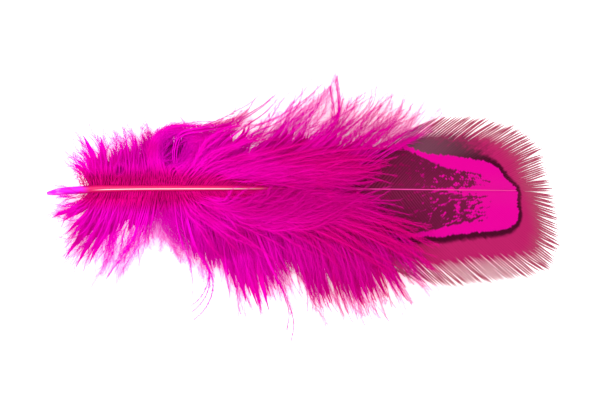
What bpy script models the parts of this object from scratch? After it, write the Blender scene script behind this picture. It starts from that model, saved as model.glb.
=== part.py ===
"""A small body feather of a pheasant, dyed magenta, lying flat with its patterned side up.

The feather grew as one piece, so it is one solid: a quill and shaft, a vane of zipped ribs
round the tip, and locks of down along the lower shaft, all fused. Metres, +Z up, +X from the
quill towards the rounded tip. Stations are distances along X from the point of the quill, and
reaches are distances across, in Y. The origin is under the middle of the feather's box, on
the surface that it lies on.
"""

import math
import random

import bmesh
import bpy
from mathutils import Matrix, Vector

MM = 0.001

# Driving dimensions
FEATHER_LENGTH = 76.4 * MM
SHAFT_LENGTH = 70.6 * MM
QUILL_RADIUS = 0.66 * MM
SHAFT_TIP_RADIUS = 0.3 * MM
SHAFT_ARCH = 2.6 * MM
SHAFT_BOW = 0.45 * MM
VANE_THICKNESS = 0.38 * MM
DOWN_START = 5.5 * MM
PRESSED_DEPTH = 0.2 * MM

# The quill's point is cut on the slant over this length, and it tapers to this share
QUILL_POINT_LENGTH = 3.4 * MM
QUILL_POINT_SHARE = 0.3

# The rim of the vane is a superellipse, rounder above the shaft than below it
RIM_CENTRE = Vector((63.4 * MM, -1.4 * MM))
RIM_HALF_LENGTH = FEATHER_LENGTH - RIM_CENTRE.x
RIM_HALF_WIDTH = 12.4 * MM
RIM_POWER = {1: 2.15, -1: 2.8}
RIM_BASE_ANGLE = {1: 125.0, -1: -130.0}
RIM_TIP_ANGLE = 4.0
VANE_START = 47.5 * MM
VANE_END = 70.2 * MM
VANE_RIBS = 36
VANE_COLUMNS = 4
RIB_BOW_DEGREES = 7.0
RIB_RELIEF = 0.06 * MM
RIB_NOTCH = 0.9 * MM
RIM_HEIGHT = {"base": 2.0 * MM, "tip": 0.22 * MM}

# Where the vane has come unzipped: side, rib, and the depth of the split
VANE_SPLITS = (
    (1, 21, 4.6 * MM),
    (1, 33, 3.2 * MM),
    (-1, 11, 3.6 * MM),
    (-1, 19, 2.6 * MM),
    (-1, 28, 4.0 * MM),
)

# Locks of down: root station, tip station and tip reach, in millimetres
UPPER_LOCKS = (
    (5.6, 2.3, 6.1),
    (6.8, 3.8, 7.4),
    (7.7, 5.7, 8.8),
    (9.0, 8.0, 9.1),
    (10.4, 10.6, 9.2),
    (12.0, 12.4, 10.4),
    (13.4, 14.3, 10.9),
    (14.9, 16.5, 11.3),
    (16.4, 19.7, 10.4),
    (17.9, 23.0, 10.9),
    (19.7, 26.7, 11.6),
    (21.5, 32.3, 14.8),
    (23.3, 35.4, 15.4),
    (25.2, 37.0, 13.6),
    (27.0, 42.0, 16.9),
    (28.8, 44.3, 16.6),
    (30.8, 45.8, 15.0),
    (32.8, 49.6, 15.5),
    (35.0, 50.7, 12.8),
    (37.2, 54.8, 14.0),
    (39.6, 54.6, 11.8),
    (42.0, 57.4, 12.9),
    (44.4, 57.9, 11.2),
)
LOWER_LOCKS = (
    (5.8, 1.0, 2.2),
    (6.3, 0.6, 4.2),
    (7.2, 1.0, 6.4),
    (8.1, 2.0, 8.6),
    (9.2, 3.8, 10.8),
    (10.6, 6.0, 11.4),
    (12.0, 7.9, 14.4),
    (13.8, 10.0, 13.4),
    (15.2, 11.8, 11.6),
    (16.4, 14.2, 9.4),
    (17.8, 17.4, 7.4),
    (19.2, 21.6, 9.6),
    (20.8, 23.9, 13.2),
    (22.4, 27.0, 14.2),
    (24.2, 29.4, 15.8),
    (26.2, 32.0, 18.2),
    (28.0, 34.4, 16.8),
    (30.0, 37.4, 16.8),
    (32.4, 40.4, 16.6),
    (34.8, 43.0, 19.6),
    (37.2, 46.2, 18.8),
    (39.6, 49.2, 18.2),
    (42.0, 51.8, 16.6),
    (44.4, 54.4, 14.8),
    (46.8, 57.2, 15.4),
    (49.0, 59.6, 13.8),
)
# Locks that lie over the others and sweep along the shaft, on the same terms
UPPER_SWEPT_LOCKS = (
    (23.6, 34.2, 8.6),
    (27.0, 40.6, 8.4),
    (30.4, 44.6, 8.0),
    (33.8, 48.6, 7.0),
    (37.2, 52.4, 5.8),
    (40.4, 53.6, 3.8),
)
LOWER_SWEPT_LOCKS = (
    (24.8, 33.0, 9.6),
    (28.0, 38.6, 8.6),
    (31.2, 43.6, 6.8),
    (34.4, 48.6, 6.0),
    (37.6, 52.8, 8.2),
    (40.8, 51.6, 4.0),
)
# Locks that cross the shaft from below and hide it there: a tip reach above it counts up
CROSSING_LOCKS = (
    (30.2, 42.6, 0.9),
    (33.4, 45.8, 1.7),
)
# The pale afterfeather, under the rest, on the lower side
AFTERFEATHER_LOCKS = (
    (16.6, 19.6, 9.2),
    (17.8, 24.0, 9.9),
)

# A lock's half widths at its root, its belly and its tip, and how flat it is
LOCK_HALF_WIDTHS = (0.42 * MM, 1.45 * MM, 0.16 * MM)
LOCK_BELLY = 0.58
LOCK_FLATNESS = 0.45
LOCK_STATIONS = 7
LOCK_SIDES = 6

# Height of the middle of a lock's tip above the surface, and its rise over a straight line
TIP_HEIGHT = 0.28 * MM
LOCK_RISE = 0.7 * MM
SWEPT_TIP_HEIGHT = 3.2 * MM
SWEPT_RISE = 1.5 * MM
AFTERFEATHER_TIP_HEIGHT = 0.4 * MM

DYED_DOWN = (0.78, 0.0, 0.46, 1.0)
SHARP_ANGLE = math.radians(50.0)
SEED = 7


def clear_scene():
    """Remove whatever the scene starts with."""
    for scene_object in list(bpy.data.objects):
        bpy.data.objects.remove(scene_object, do_unlink=True)


def new_collection(name):
    """Return a new collection in the scene."""
    collection = bpy.data.collections.new(name)
    bpy.context.scene.collection.children.link(collection)
    return collection


def blend(start, end, share):
    """Return the value that lies this share of the way from start to end."""
    return start + (end - start) * share


def shaft_point(station):
    """Return the middle of the shaft: it arches off the surface and bows a little to +Y."""
    share = min(max(station / SHAFT_LENGTH, 0.0), 1.0)
    arch = math.sin(math.pi * share ** 0.85)
    bow = math.sin(math.pi * share ** 0.6)
    return Vector((station, SHAFT_BOW * bow, QUILL_RADIUS * 0.97 + SHAFT_ARCH * arch))


def shaft_radius(station):
    """Return the shaft's radius: a slanted point, a round quill, then a long taper."""
    along = min(station / QUILL_POINT_LENGTH, 1.0)
    point = blend(QUILL_POINT_SHARE, 1.0, math.sin(0.5 * math.pi * along))
    taper = max(station - DOWN_START, 0.0) / (SHAFT_LENGTH - DOWN_START)
    return point * blend(QUILL_RADIUS, SHAFT_TIP_RADIUS, taper ** 0.75)


def plan_curve(root, tip, start_degrees, end_degrees, share):
    """Return the point at this share of a curve in plan between two points.

    The curve leaves the root at one angle from +X and reaches the tip at the other.
    """
    span = (tip - root).length
    leave = Vector((math.cos(math.radians(start_degrees)), math.sin(math.radians(start_degrees))))
    arrive = Vector((math.cos(math.radians(end_degrees)), math.sin(math.radians(end_degrees))))
    first = root + leave * span * 0.4
    second = tip - arrive * span * 0.3
    rest = 1.0 - share
    return (
        root * rest ** 3
        + first * 3 * rest ** 2 * share
        + second * 3 * rest * share ** 2
        + tip * share ** 3
    )


def curve_object(name, points, radii, collection):
    """Return a POLY curve object through these points, with a radius at each."""
    curve = bpy.data.curves.new(name, "CURVE")
    curve.dimensions = "3D"
    curve.twist_mode = "Z_UP"
    curve.use_fill_caps = True
    spline = curve.splines.new("POLY")
    spline.points.add(len(points) - 1)
    for spline_point, place, radius in zip(spline.points, points, radii):
        spline_point.co = (*place, 1.0)
        spline_point.radius = radius
    tube = bpy.data.objects.new(name, curve)
    collection.objects.link(tube)
    return tube


def made_mesh(source, name, collection):
    """Return the evaluated source as a mesh object with its caps welded, and remove the source."""
    graph = bpy.context.evaluated_depsgraph_get()
    mesh = bpy.data.meshes.new_from_object(source.evaluated_get(graph))
    solid = bmesh.new()
    solid.from_mesh(mesh)
    bmesh.ops.remove_doubles(solid, verts=solid.verts, dist=0.01 * MM)
    bmesh.ops.recalc_face_normals(solid, faces=solid.faces)
    solid.to_mesh(mesh)
    solid.free()
    made = bpy.data.objects.new(name, mesh)
    made.matrix_world = source.matrix_world
    collection.objects.link(made)
    bpy.data.objects.remove(source, do_unlink=True)
    return made


def as_operand(helper):
    """Mark a helper, which only shapes the feather, so that it isn't drawn as a part."""
    helper.hide_render = True
    helper.display_type = "WIRE"


def make_shaft(collection):
    """Return the quill and shaft as one tapered tube."""
    stations = [0.0, 0.5 * MM, 1.3 * MM, 2.4 * MM, QUILL_POINT_LENGTH]
    steps = 18
    stations += [
        blend(QUILL_POINT_LENGTH, SHAFT_LENGTH, step / steps) for step in range(1, steps + 1)
    ]
    tube = curve_object(
        "feather",
        [shaft_point(station) for station in stations],
        [shaft_radius(station) / QUILL_RADIUS for station in stations],
        collection,
    )
    tube.data.bevel_depth = QUILL_RADIUS
    tube.data.bevel_resolution = 2
    return made_mesh(tube, "feather", collection)


def rim_point(side, degrees):
    """Return the point of the vane's rim at this angle about the rim's centre."""
    power = 2.0 / RIM_POWER[side]
    along = math.cos(math.radians(degrees))
    across = math.sin(math.radians(degrees))
    return RIM_CENTRE + Vector(
        (
            RIM_HALF_LENGTH * math.copysign(abs(along) ** power, along),
            RIM_HALF_WIDTH * math.copysign(abs(across) ** power, across),
        )
    )


def vane_rib(side, number):
    """Return the points of one rib of the vane, from the shaft to the rim.

    Args:
        side: 1 above the shaft and -1 below it, seen from over the feather.
        number: 0 at the vane's base and VANE_RIBS - 1 at the tip.
    """
    share = number / (VANE_RIBS - 1)
    station = blend(VANE_START, VANE_END, share)
    axis = shaft_point(station)
    root = Vector((station, axis.y))
    tip = rim_point(side, blend(RIM_BASE_ANGLE[side], RIM_TIP_ANGLE, share))
    way = tip - root
    notch = RIB_NOTCH if number % 2 else 0.0
    for split_side, split_rib, depth in VANE_SPLITS:
        if (split_side, split_rib) == (side, number):
            notch = depth
    tip -= way.normalized() * notch
    heading = math.degrees(math.atan2(way.y, way.x))
    bow = side * RIB_BOW_DEGREES * (1.0 - share)
    relief = RIB_RELIEF if number % 2 else -RIB_RELIEF
    rim_height = blend(RIM_HEIGHT["base"], RIM_HEIGHT["tip"], share ** 0.5)
    points = []
    for column in range(VANE_COLUMNS + 1):
        out = column / VANE_COLUMNS
        place = plan_curve(root, tip, heading + bow, heading - bow, out)
        height = blend(axis.z, rim_height, out ** 1.4) + relief * min(3.0 * out, 1.0)
        points.append(Vector((place.x, place.y, height)))
    return points


def make_vane(collection):
    """Return the vane: a thin sheet of ribs on both sides of the shaft.

    The ribs of a pair share their root on the shaft, and the pair at the tip is one rib.
    """
    sheet = bmesh.new()
    upper = [[sheet.verts.new(point) for point in vane_rib(1, n)] for n in range(VANE_RIBS)]
    lower = []
    for number, opposite in enumerate(upper[:-1]):
        outer = [sheet.verts.new(point) for point in vane_rib(-1, number)[1:]]
        lower.append([opposite[0], *outer])
    lower.append(upper[-1])
    for rows in (upper, lower):
        for rib, following in zip(rows, rows[1:]):
            for column in range(VANE_COLUMNS):
                sheet.faces.new(
                    (rib[column], following[column], following[column + 1], rib[column + 1])
                )
    bmesh.ops.recalc_face_normals(sheet, faces=sheet.faces)
    mesh = bpy.data.meshes.new("vane_sheet")
    sheet.to_mesh(mesh)
    sheet.free()
    source = bpy.data.objects.new("vane_sheet", mesh)
    collection.objects.link(source)
    wall = source.modifiers.new("wall", "SOLIDIFY")
    wall.thickness = VANE_THICKNESS
    wall.offset = 0.0
    return made_mesh(source, "vane", collection)


def make_lock_section(collection):
    """Return the flat outline that every lock is swept from, one unit in half width."""
    outline = bpy.data.curves.new("lock_section", "CURVE")
    outline.dimensions = "2D"
    spline = outline.splines.new("POLY")
    spline.points.add(LOCK_SIDES - 1)
    for number, corner in enumerate(spline.points):
        turn = 2.0 * math.pi * number / LOCK_SIDES
        corner.co = (math.cos(turn), LOCK_FLATNESS * math.sin(turn), 0.0, 1.0)
    spline.use_cyclic_u = True
    section = bpy.data.objects.new("lock_section", outline)
    collection.objects.link(section)
    return section


def lock_half_width(share, scale):
    """Return a lock's half width at this share of its length."""
    root, belly, tip = (width * scale for width in LOCK_HALF_WIDTHS)
    if share < LOCK_BELLY:
        return blend(root, belly, math.sin(0.5 * math.pi * share / LOCK_BELLY))
    past = (share - LOCK_BELLY) / (1.0 - LOCK_BELLY)
    return blend(tip, belly, math.cos(0.5 * math.pi * past) ** 0.8)


def make_lock(name, side, lock, tip_height, rise, scale, section, chance, collection):
    """Return one lock of down, swept from the shaft to its pointed tip.

    Args:
        side: 1 above the shaft and -1 below it, seen from over the feather.
        lock: root station, tip station and tip reach, in millimetres.
        tip_height: height of the tip's middle above the surface.
        rise: how far the lock's middle stands over a straight line to its tip.
        scale: its width beside the usual one.
    """
    root_station, tip_station, tip_reach = (value * MM for value in lock)
    axis = shaft_point(root_station)
    root = Vector((axis.x, axis.y))
    tip = Vector((tip_station, side * tip_reach))
    way = tip - root
    heading = math.degrees(math.atan2(side * way.y, way.x))
    along = min(root_station / VANE_START, 1.0)
    leaving = blend(heading, blend(104.0, 34.0, along), 0.6)
    arriving = heading + chance.uniform(-10.0, 16.0)
    points = []
    radii = []
    for number in range(LOCK_STATIONS):
        share = number / (LOCK_STATIONS - 1)
        place = plan_curve(root, tip, side * leaving, side * arriving, share)
        height = blend(axis.z, tip_height, share ** 1.2) + rise * math.sin(math.pi * share)
        points.append(Vector((place.x, place.y, height)))
        radii.append(lock_half_width(share, scale))
    tube = curve_object(name, points, radii, collection)
    tube.data.bevel_mode = "OBJECT"
    tube.data.bevel_object = section
    return made_mesh(tube, name, collection)


def make_down(collection):
    """Make every lock of down in this collection."""
    chance = random.Random(SEED)
    section = make_lock_section(collection)
    groups = (
        ("upper", 1, UPPER_LOCKS, TIP_HEIGHT, LOCK_RISE, 1.0),
        ("lower", -1, LOWER_LOCKS, TIP_HEIGHT, LOCK_RISE, 1.0),
        ("upper_swept", 1, UPPER_SWEPT_LOCKS, SWEPT_TIP_HEIGHT, SWEPT_RISE, 0.8),
        ("lower_swept", -1, LOWER_SWEPT_LOCKS, SWEPT_TIP_HEIGHT, SWEPT_RISE, 0.8),
        ("crossing", 1, CROSSING_LOCKS, SWEPT_TIP_HEIGHT + 0.8 * MM, SWEPT_RISE, 0.75),
        ("afterfeather", -1, AFTERFEATHER_LOCKS, AFTERFEATHER_TIP_HEIGHT, 0.0, 0.9),
    )
    for group, side, locks, tip_height, rise, scale in groups:
        for number, lock in enumerate(locks):
            height = tip_height + chance.uniform(-0.1, 0.35) * MM
            width = scale * chance.uniform(0.88, 1.15)
            name = f"{group}_lock_{number}"
            made = make_lock(name, side, lock, height, rise, width, section, chance, collection)
            as_operand(made)
    bpy.data.objects.remove(section, do_unlink=True)


def make_surface(collection):
    """Return a box with its top at the height that the feather's underside is pressed flat to."""
    depth = 10.0 * MM
    bpy.ops.mesh.primitive_cube_add(size=1.0)
    box = bpy.context.object
    box.name = "surface"
    box.data.transform(Matrix.Diagonal((2.0 * FEATHER_LENGTH, FEATHER_LENGTH, depth, 1.0)))
    box.data.transform(Matrix.Translation((0.5 * FEATHER_LENGTH, 0.0, PRESSED_DEPTH - 0.5 * depth)))
    for holder in list(box.users_collection):
        holder.objects.unlink(box)
    collection.objects.link(box)
    as_operand(box)
    return box


def add_boolean(target, operation, operand):
    """Add a Boolean to the target, with an object or a whole collection as its operand."""
    modifier = target.modifiers.new(operation.lower(), "BOOLEAN")
    modifier.operation = operation
    modifier.solver = "EXACT"
    if isinstance(operand, bpy.types.Collection):
        modifier.operand_type = "COLLECTION"
        modifier.collection = operand
    else:
        modifier.object = operand
    return modifier


def stand_on_origin(feather):
    """Move the feather's mesh so that the origin is under the middle of its box."""
    corners = [vertex.co for vertex in feather.data.vertices]
    low = Vector(min(corner[axis] for corner in corners) for axis in range(3))
    high = Vector(max(corner[axis] for corner in corners) for axis in range(3))
    middle = (low + high) / 2.0
    feather.data.transform(Matrix.Translation((-middle.x, -middle.y, -low.z)))


def dye(feather):
    """Shade the feather smooth and give it its material: matte, hot magenta dye."""
    feather.data.shade_smooth()
    feather.data.set_sharp_from_angle(angle=SHARP_ANGLE)
    material = bpy.data.materials.new("dyed_down")
    material.use_nodes = True
    shader = material.node_tree.nodes["Principled BSDF"]
    shader.inputs["Base Color"].default_value = DYED_DOWN
    shader.inputs["Roughness"].default_value = 0.65
    shader.inputs["Metallic"].default_value = 0.0
    material.diffuse_color = DYED_DOWN
    feather.data.materials.clear()
    feather.data.materials.append(material)


def main():
    """Build the feather as one named solid."""
    clear_scene()
    parts = new_collection("pheasant_feather")
    growth = new_collection("growth")
    table = new_collection("table")
    shaft = make_shaft(parts)
    as_operand(make_vane(growth))
    make_down(growth)
    add_boolean(shaft, "UNION", growth)
    add_boolean(shaft, "DIFFERENCE", make_surface(table))
    bpy.context.view_layer.update()
    feather = made_mesh(shaft, "feather", parts)
    feather.name = "feather"
    stand_on_origin(feather)
    dye(feather)


main()
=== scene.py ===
"""Dyed pheasant feather: its barbs, down, quill and markings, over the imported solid.

The feather lies flat on a pale table with its patterned side up, and the camera looks straight
down on it. Until a mesh is made, places are in millimetres: stations along the shaft, measured
from the quill's point, and reaches across it, towards +Y on the upper side.
"""

import logging
import math
from dataclasses import dataclass, field, replace
from enum import Enum

import bpy
import numpy as np
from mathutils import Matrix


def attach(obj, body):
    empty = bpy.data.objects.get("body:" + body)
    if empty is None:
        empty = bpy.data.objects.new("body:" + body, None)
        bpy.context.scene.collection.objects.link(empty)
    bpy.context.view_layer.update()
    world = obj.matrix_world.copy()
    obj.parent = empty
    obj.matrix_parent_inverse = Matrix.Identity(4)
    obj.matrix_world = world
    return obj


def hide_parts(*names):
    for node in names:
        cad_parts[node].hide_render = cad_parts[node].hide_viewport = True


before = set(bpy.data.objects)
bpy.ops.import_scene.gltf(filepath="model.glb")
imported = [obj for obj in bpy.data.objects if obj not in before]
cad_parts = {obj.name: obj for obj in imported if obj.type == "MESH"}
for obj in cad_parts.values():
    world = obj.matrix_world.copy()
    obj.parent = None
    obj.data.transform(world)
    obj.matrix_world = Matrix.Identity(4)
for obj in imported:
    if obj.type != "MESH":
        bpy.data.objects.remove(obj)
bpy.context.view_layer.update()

MM = 0.001
IMAGE_WIDTH = 612
MM_PER_PIXEL = 0.15
IMAGE_MIDDLE = (306.0, 204.0)
QUILL_PIXEL = (47.0, 190.5)
STUDIO_LIGHT = 1.42
TINY = 1e-9
FULL_TURN = 2.0 * np.pi
UP = (0.0, 0.0, 1.0)
LEAVE_PULL = 0.4
ARRIVE_PULL = 0.3

Array = np.ndarray
Colour = tuple[float, float, float, float]
Range = tuple[float, float]
Outline = tuple[Range, ...]
Socket = bpy.types.NodeSocket
Material = bpy.types.Material

log = logging.getLogger("feather")


class Side(Enum):
    """A side of the shaft, seen from over the feather with its quill to the left."""

    UPPER = 1
    LOWER = -1


class Section(Enum):
    """The outline that a barb is swept from."""

    ROUND = "round"
    TENT = "tent"


def dye(red: float, green: float, blue: float) -> Colour:
    """Work out the pigment that shows as a given screen colour in the studio.

    Args:
        red: the colour's red, from 0 to 255.
        green: its green.
        blue: its blue.

    Returns:
        The pigment, for a material.
    """
    parts = [value / 255.0 for value in (red, green, blue)]
    seen = [p / 12.92 if p <= 0.04045 else ((p + 0.055) / 1.055) ** 2.4 for p in parts]
    return (*[p / STUDIO_LIGHT for p in seen], 1.0)


def blend(start: Array, end: Array, share: Array) -> Array:
    """Return the value that lies this share of the way from start to end."""
    return start + (end - start) * share


def ease(value: Array, low: float, high: float) -> Array:
    """Return a smooth step that is 0 below low and 1 above high."""
    share = np.clip((value - low) / (high - low), 0.0, 1.0)
    return share * share * (3.0 - 2.0 * share)


def unit(vectors: Array) -> Array:
    """Return vectors, which lie in the last axis, at length 1."""
    return vectors / np.maximum(np.linalg.norm(vectors, axis=-1, keepdims=True), TINY)


def travelled(places: Array) -> Array:
    """Return how far along its line each point of the lines is."""
    steps = np.linalg.norm(np.diff(places, axis=1), axis=2)
    return np.concatenate([np.zeros((len(steps), 1)), np.cumsum(steps, axis=1)], axis=1)


def sideways(plan: Array) -> Array:
    """Return the unit direction to the left of each line in plan, at each of its points."""
    way = unit(np.gradient(plan, axis=1))
    return np.stack([-way[..., 1], way[..., 0]], axis=-1)


def raised(plan: Array, height: Array) -> Array:
    """Return lines in plan with their heights as a third number."""
    return np.concatenate([plan, height[..., None]], axis=-1)


def bezier(root: Array, tip: Array, leave: Array, arrive: Array, shares: Array) -> Array:
    """Return curves in plan that leave their roots and reach their tips at given angles.

    Args:
        root: one place for each curve.
        tip: one place for each curve.
        leave: angles from +X at the roots, in radians.
        arrive: angles from +X at the tips, in radians.
        shares: how far along each point is, from 0 to 1.

    Returns:
        One row of points for each curve.
    """
    span = np.linalg.norm(tip - root, axis=1, keepdims=True)
    first = root + np.stack([np.cos(leave), np.sin(leave)], axis=1) * span * LEAVE_PULL
    second = tip - np.stack([np.cos(arrive), np.sin(arrive)], axis=1) * span * ARRIVE_PULL
    along = shares[None, :, None]
    rest = 1.0 - along
    return (
        root[:, None] * rest ** 3
        + first[:, None] * 3.0 * rest ** 2 * along
        + second[:, None] * 3.0 * rest * along ** 2
        + tip[:, None] * along ** 3
    )


def smooth_path(places: Array, shares: Array) -> Array:
    """Return points along a smooth line through some places.

    Args:
        places: the places in order, one row for each.
        shares: how far along the line each point is, from 0 to 1.

    Returns:
        One row for each share.
    """
    run = travelled(places[None])[0]
    slope = np.gradient(places, run, axis=0)
    at = shares * run[-1]
    before = np.clip(np.searchsorted(run, at, side="right") - 1, 0, len(run) - 2)
    gap = (run[before + 1] - run[before])[:, None]
    part = (at - run[before])[:, None] / gap
    bend = part ** 2 * (3.0 - 2.0 * part)
    leave = part * (1.0 - part) ** 2 * gap * slope[before]
    arrive = part ** 2 * (part - 1.0) * gap * slope[before + 1]
    return blend(places[before], places[before + 1], bend) + leave + arrive


def put(name: str, data: bpy.types.ID) -> bpy.types.Object:
    """Make an object in the scene's collection.

    Args:
        name: the object's name.
        data: its mesh, light or camera.

    Returns:
        The new object.
    """
    thing = bpy.data.objects.new(name, data)
    bpy.context.scene.collection.objects.link(thing)
    return thing


def mark(mesh: bpy.types.Mesh, **values: Array) -> None:
    """Store numbers, or vectors in a last axis of 3, on a mesh's points.

    Args:
        mesh: the mesh.
        values: one array for each attribute, by name.
    """
    for name, array in values.items():
        flat = array.astype(np.float32).ravel()
        single = flat.size == len(mesh.vertices)
        layer = mesh.attributes.new(name, "FLOAT" if single else "FLOAT_VECTOR", "POINT")
        layer.data.foreach_set("value" if single else "vector", flat)


def lay_out_from_above(mesh: bpy.types.Mesh) -> None:
    """Give a mesh of fibres a UV map that looks straight down on the feather.

    Args:
        mesh: the mesh to unwrap.
    """
    layer = mesh.uv_layers.new(name="OFBake")
    corners = np.empty(len(mesh.loops), dtype=np.int32)
    mesh.loops.foreach_get("vertex_index", corners)
    places = np.empty(len(mesh.vertices) * 3, dtype=np.float32)
    mesh.vertices.foreach_get("co", places)
    flat = places.reshape(-1, 3)[corners, :2]
    low = flat.min(axis=0)
    size = float((flat.max(axis=0) - low).max())
    layer.data.foreach_set("uv", ((flat - low) / size * 0.98 + 0.01).astype(np.float32).ravel())


class NodeBoard:
    """A node tree that is being wired.

    Args:
        tree: the shader tree or Geometry Nodes tree to add nodes to.
    """

    def __init__(self, tree: bpy.types.NodeTree) -> None:
        """Keep the tree."""
        self.tree = tree

    def add(
        self, kind: str, inputs: dict[int | str, object] | None = None, **settings: object
    ) -> bpy.types.Node:
        """Add a node.

        Args:
            kind: the node's type.
            inputs: sockets to link and plain values to set, by the input's name or number.
            settings: the node's own properties.

        Returns:
            The new node.
        """
        node = self.tree.nodes.new(kind)
        for name, value in settings.items():
            setattr(node, name, value)
        for socket, value in (inputs or {}).items():
            if isinstance(value, Socket):
                self.tree.links.new(value, node.inputs[socket])
            else:
                node.inputs[socket].default_value = value
        return node

    def out(
        self, kind: str, inputs: dict[int | str, object] | None = None, **settings: object
    ) -> Socket:
        """Add a node in the same way, and return its first output."""
        return self.add(kind, inputs, **settings).outputs[0]

    def math(self, operation: str, *values: object) -> Socket:
        """Return the result of a Math node over these values."""
        return self.out("ShaderNodeMath", dict(enumerate(values)), operation=operation)

    def times(self, value: object, *factors: object) -> Socket:
        """Return a value times each of the factors."""
        for factor in factors:
            value = self.math("MULTIPLY", value, factor)
        return value

    def plus(self, value: object, *others: object) -> Socket:
        """Return the sum of some values."""
        for other in others:
            value = self.math("ADD", value, other)
        return value

    def swing(self, noise: Socket, width: float) -> Socket:
        """Return a noise value as a swing to both sides of 0."""
        return self.times(self.math("SUBTRACT", noise, 0.5), width)

    def vector(self, operation: str, *values: object) -> Socket:
        """Return the vector that a Vector Math node makes of these values."""
        return self.out("ShaderNodeVectorMath", dict(enumerate(values)), operation=operation)

    def scaled(self, vector: object, factor: object) -> Socket:
        """Return this vector times a number."""
        return self.out("ShaderNodeVectorMath", {0: vector, "Scale": factor}, operation="SCALE")

    def split(self, vector: Socket) -> list[Socket]:
        """Return a vector's three numbers."""
        return list(self.add("ShaderNodeSeparateXYZ", {0: vector}).outputs)

    def mix(self, factor: object, first: object, second: object) -> Socket:
        """Mix two colours.

        Args:
            factor: the share of the second colour.
            first: the colour at factor 0.
            second: the colour at factor 1.

        Returns:
            The mixed colour.
        """
        inputs = {0: factor, 6: first, 7: second}
        node = self.add("ShaderNodeMix", inputs, data_type="RGBA", clamp_factor=True)
        return node.outputs[2]

    def step(self, value: object, low: float, high: float) -> Socket:
        """Return a smooth step of a value, from 0 at low to 1 at high."""
        inputs = {0: value, 1: low, 2: high}
        return self.out("ShaderNodeMapRange", inputs, interpolation_type="SMOOTHSTEP")

    def step_mm(self, value: object, reach: Range) -> Socket:
        """Return a smooth step of a length, over a range that is in millimetres."""
        return self.step(value, reach[0] * MM, reach[1] * MM)

    def noise(self, place: Socket, stretch: Colour | float, detail: float = 2.0) -> Socket:
        """Return a noise value, about 0.5 on average, at a place times this stretch."""
        if isinstance(stretch, tuple):
            place, stretch = self.vector("MULTIPLY", place, stretch), 1.0
        return self.out(
            "ShaderNodeTexNoise", {"Vector": place, "Scale": stretch, "Detail": detail}
        )

    def read(self, name: str, output: str = "Fac") -> Socket:
        """Return a mesh attribute inside a shader tree."""
        return self.add("ShaderNodeAttribute", attribute_name=name).outputs[output]

    def place(self) -> Socket:
        """Return the place on the object inside a shader tree."""
        return self.add("ShaderNodeTexCoord").outputs["Object"]

    def bump(self, height: Socket, strength: float, distance: float) -> Socket:
        """Return the normal of a surface with this relief."""
        inputs = {"Height": height, "Strength": strength, "Distance": distance * MM}
        return self.out("ShaderNodeBump", inputs)

    def fibres(self, colour: Socket, relief: Socket, glow: float, depth: float = 0.5) -> Socket:
        """Return the shader of thin fibres, which reflect light and let some through.

        Args:
            colour: their colour.
            relief: the height of their fine strands.
            glow: the share of light that passes through.
            depth: how strongly the strands catch the light, from 0 to 1.

        Returns:
            The shader.
        """
        surface = self.out("ShaderNodeBsdfPrincipled", {
            "Base Color": colour, "Roughness": 0.6, "Specular IOR Level": 0.0,
            "Normal": self.bump(relief, depth, 0.06),
        })
        through = self.out("ShaderNodeBsdfTranslucent", {"Color": colour})
        return self.out("ShaderNodeMixShader", {0: glow, 1: surface, 2: through})


@dataclass(frozen=True)
class Finish:
    """A procedural material. Each kind of finish wires its own shader."""

    name: str

    def shader(self, board: NodeBoard) -> Socket:
        """Return the shader, wired on the board of the material's empty tree."""
        raise NotImplementedError

    def material(self) -> Material:
        """Make the material.

        Returns:
            The finished material.
        """
        material = bpy.data.materials.new(self.name)
        material.use_nodes = True
        material.node_tree.nodes.clear()
        board = NodeBoard(material.node_tree)
        board.add("ShaderNodeOutputMaterial", {0: self.shader(board)})
        return material


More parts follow.
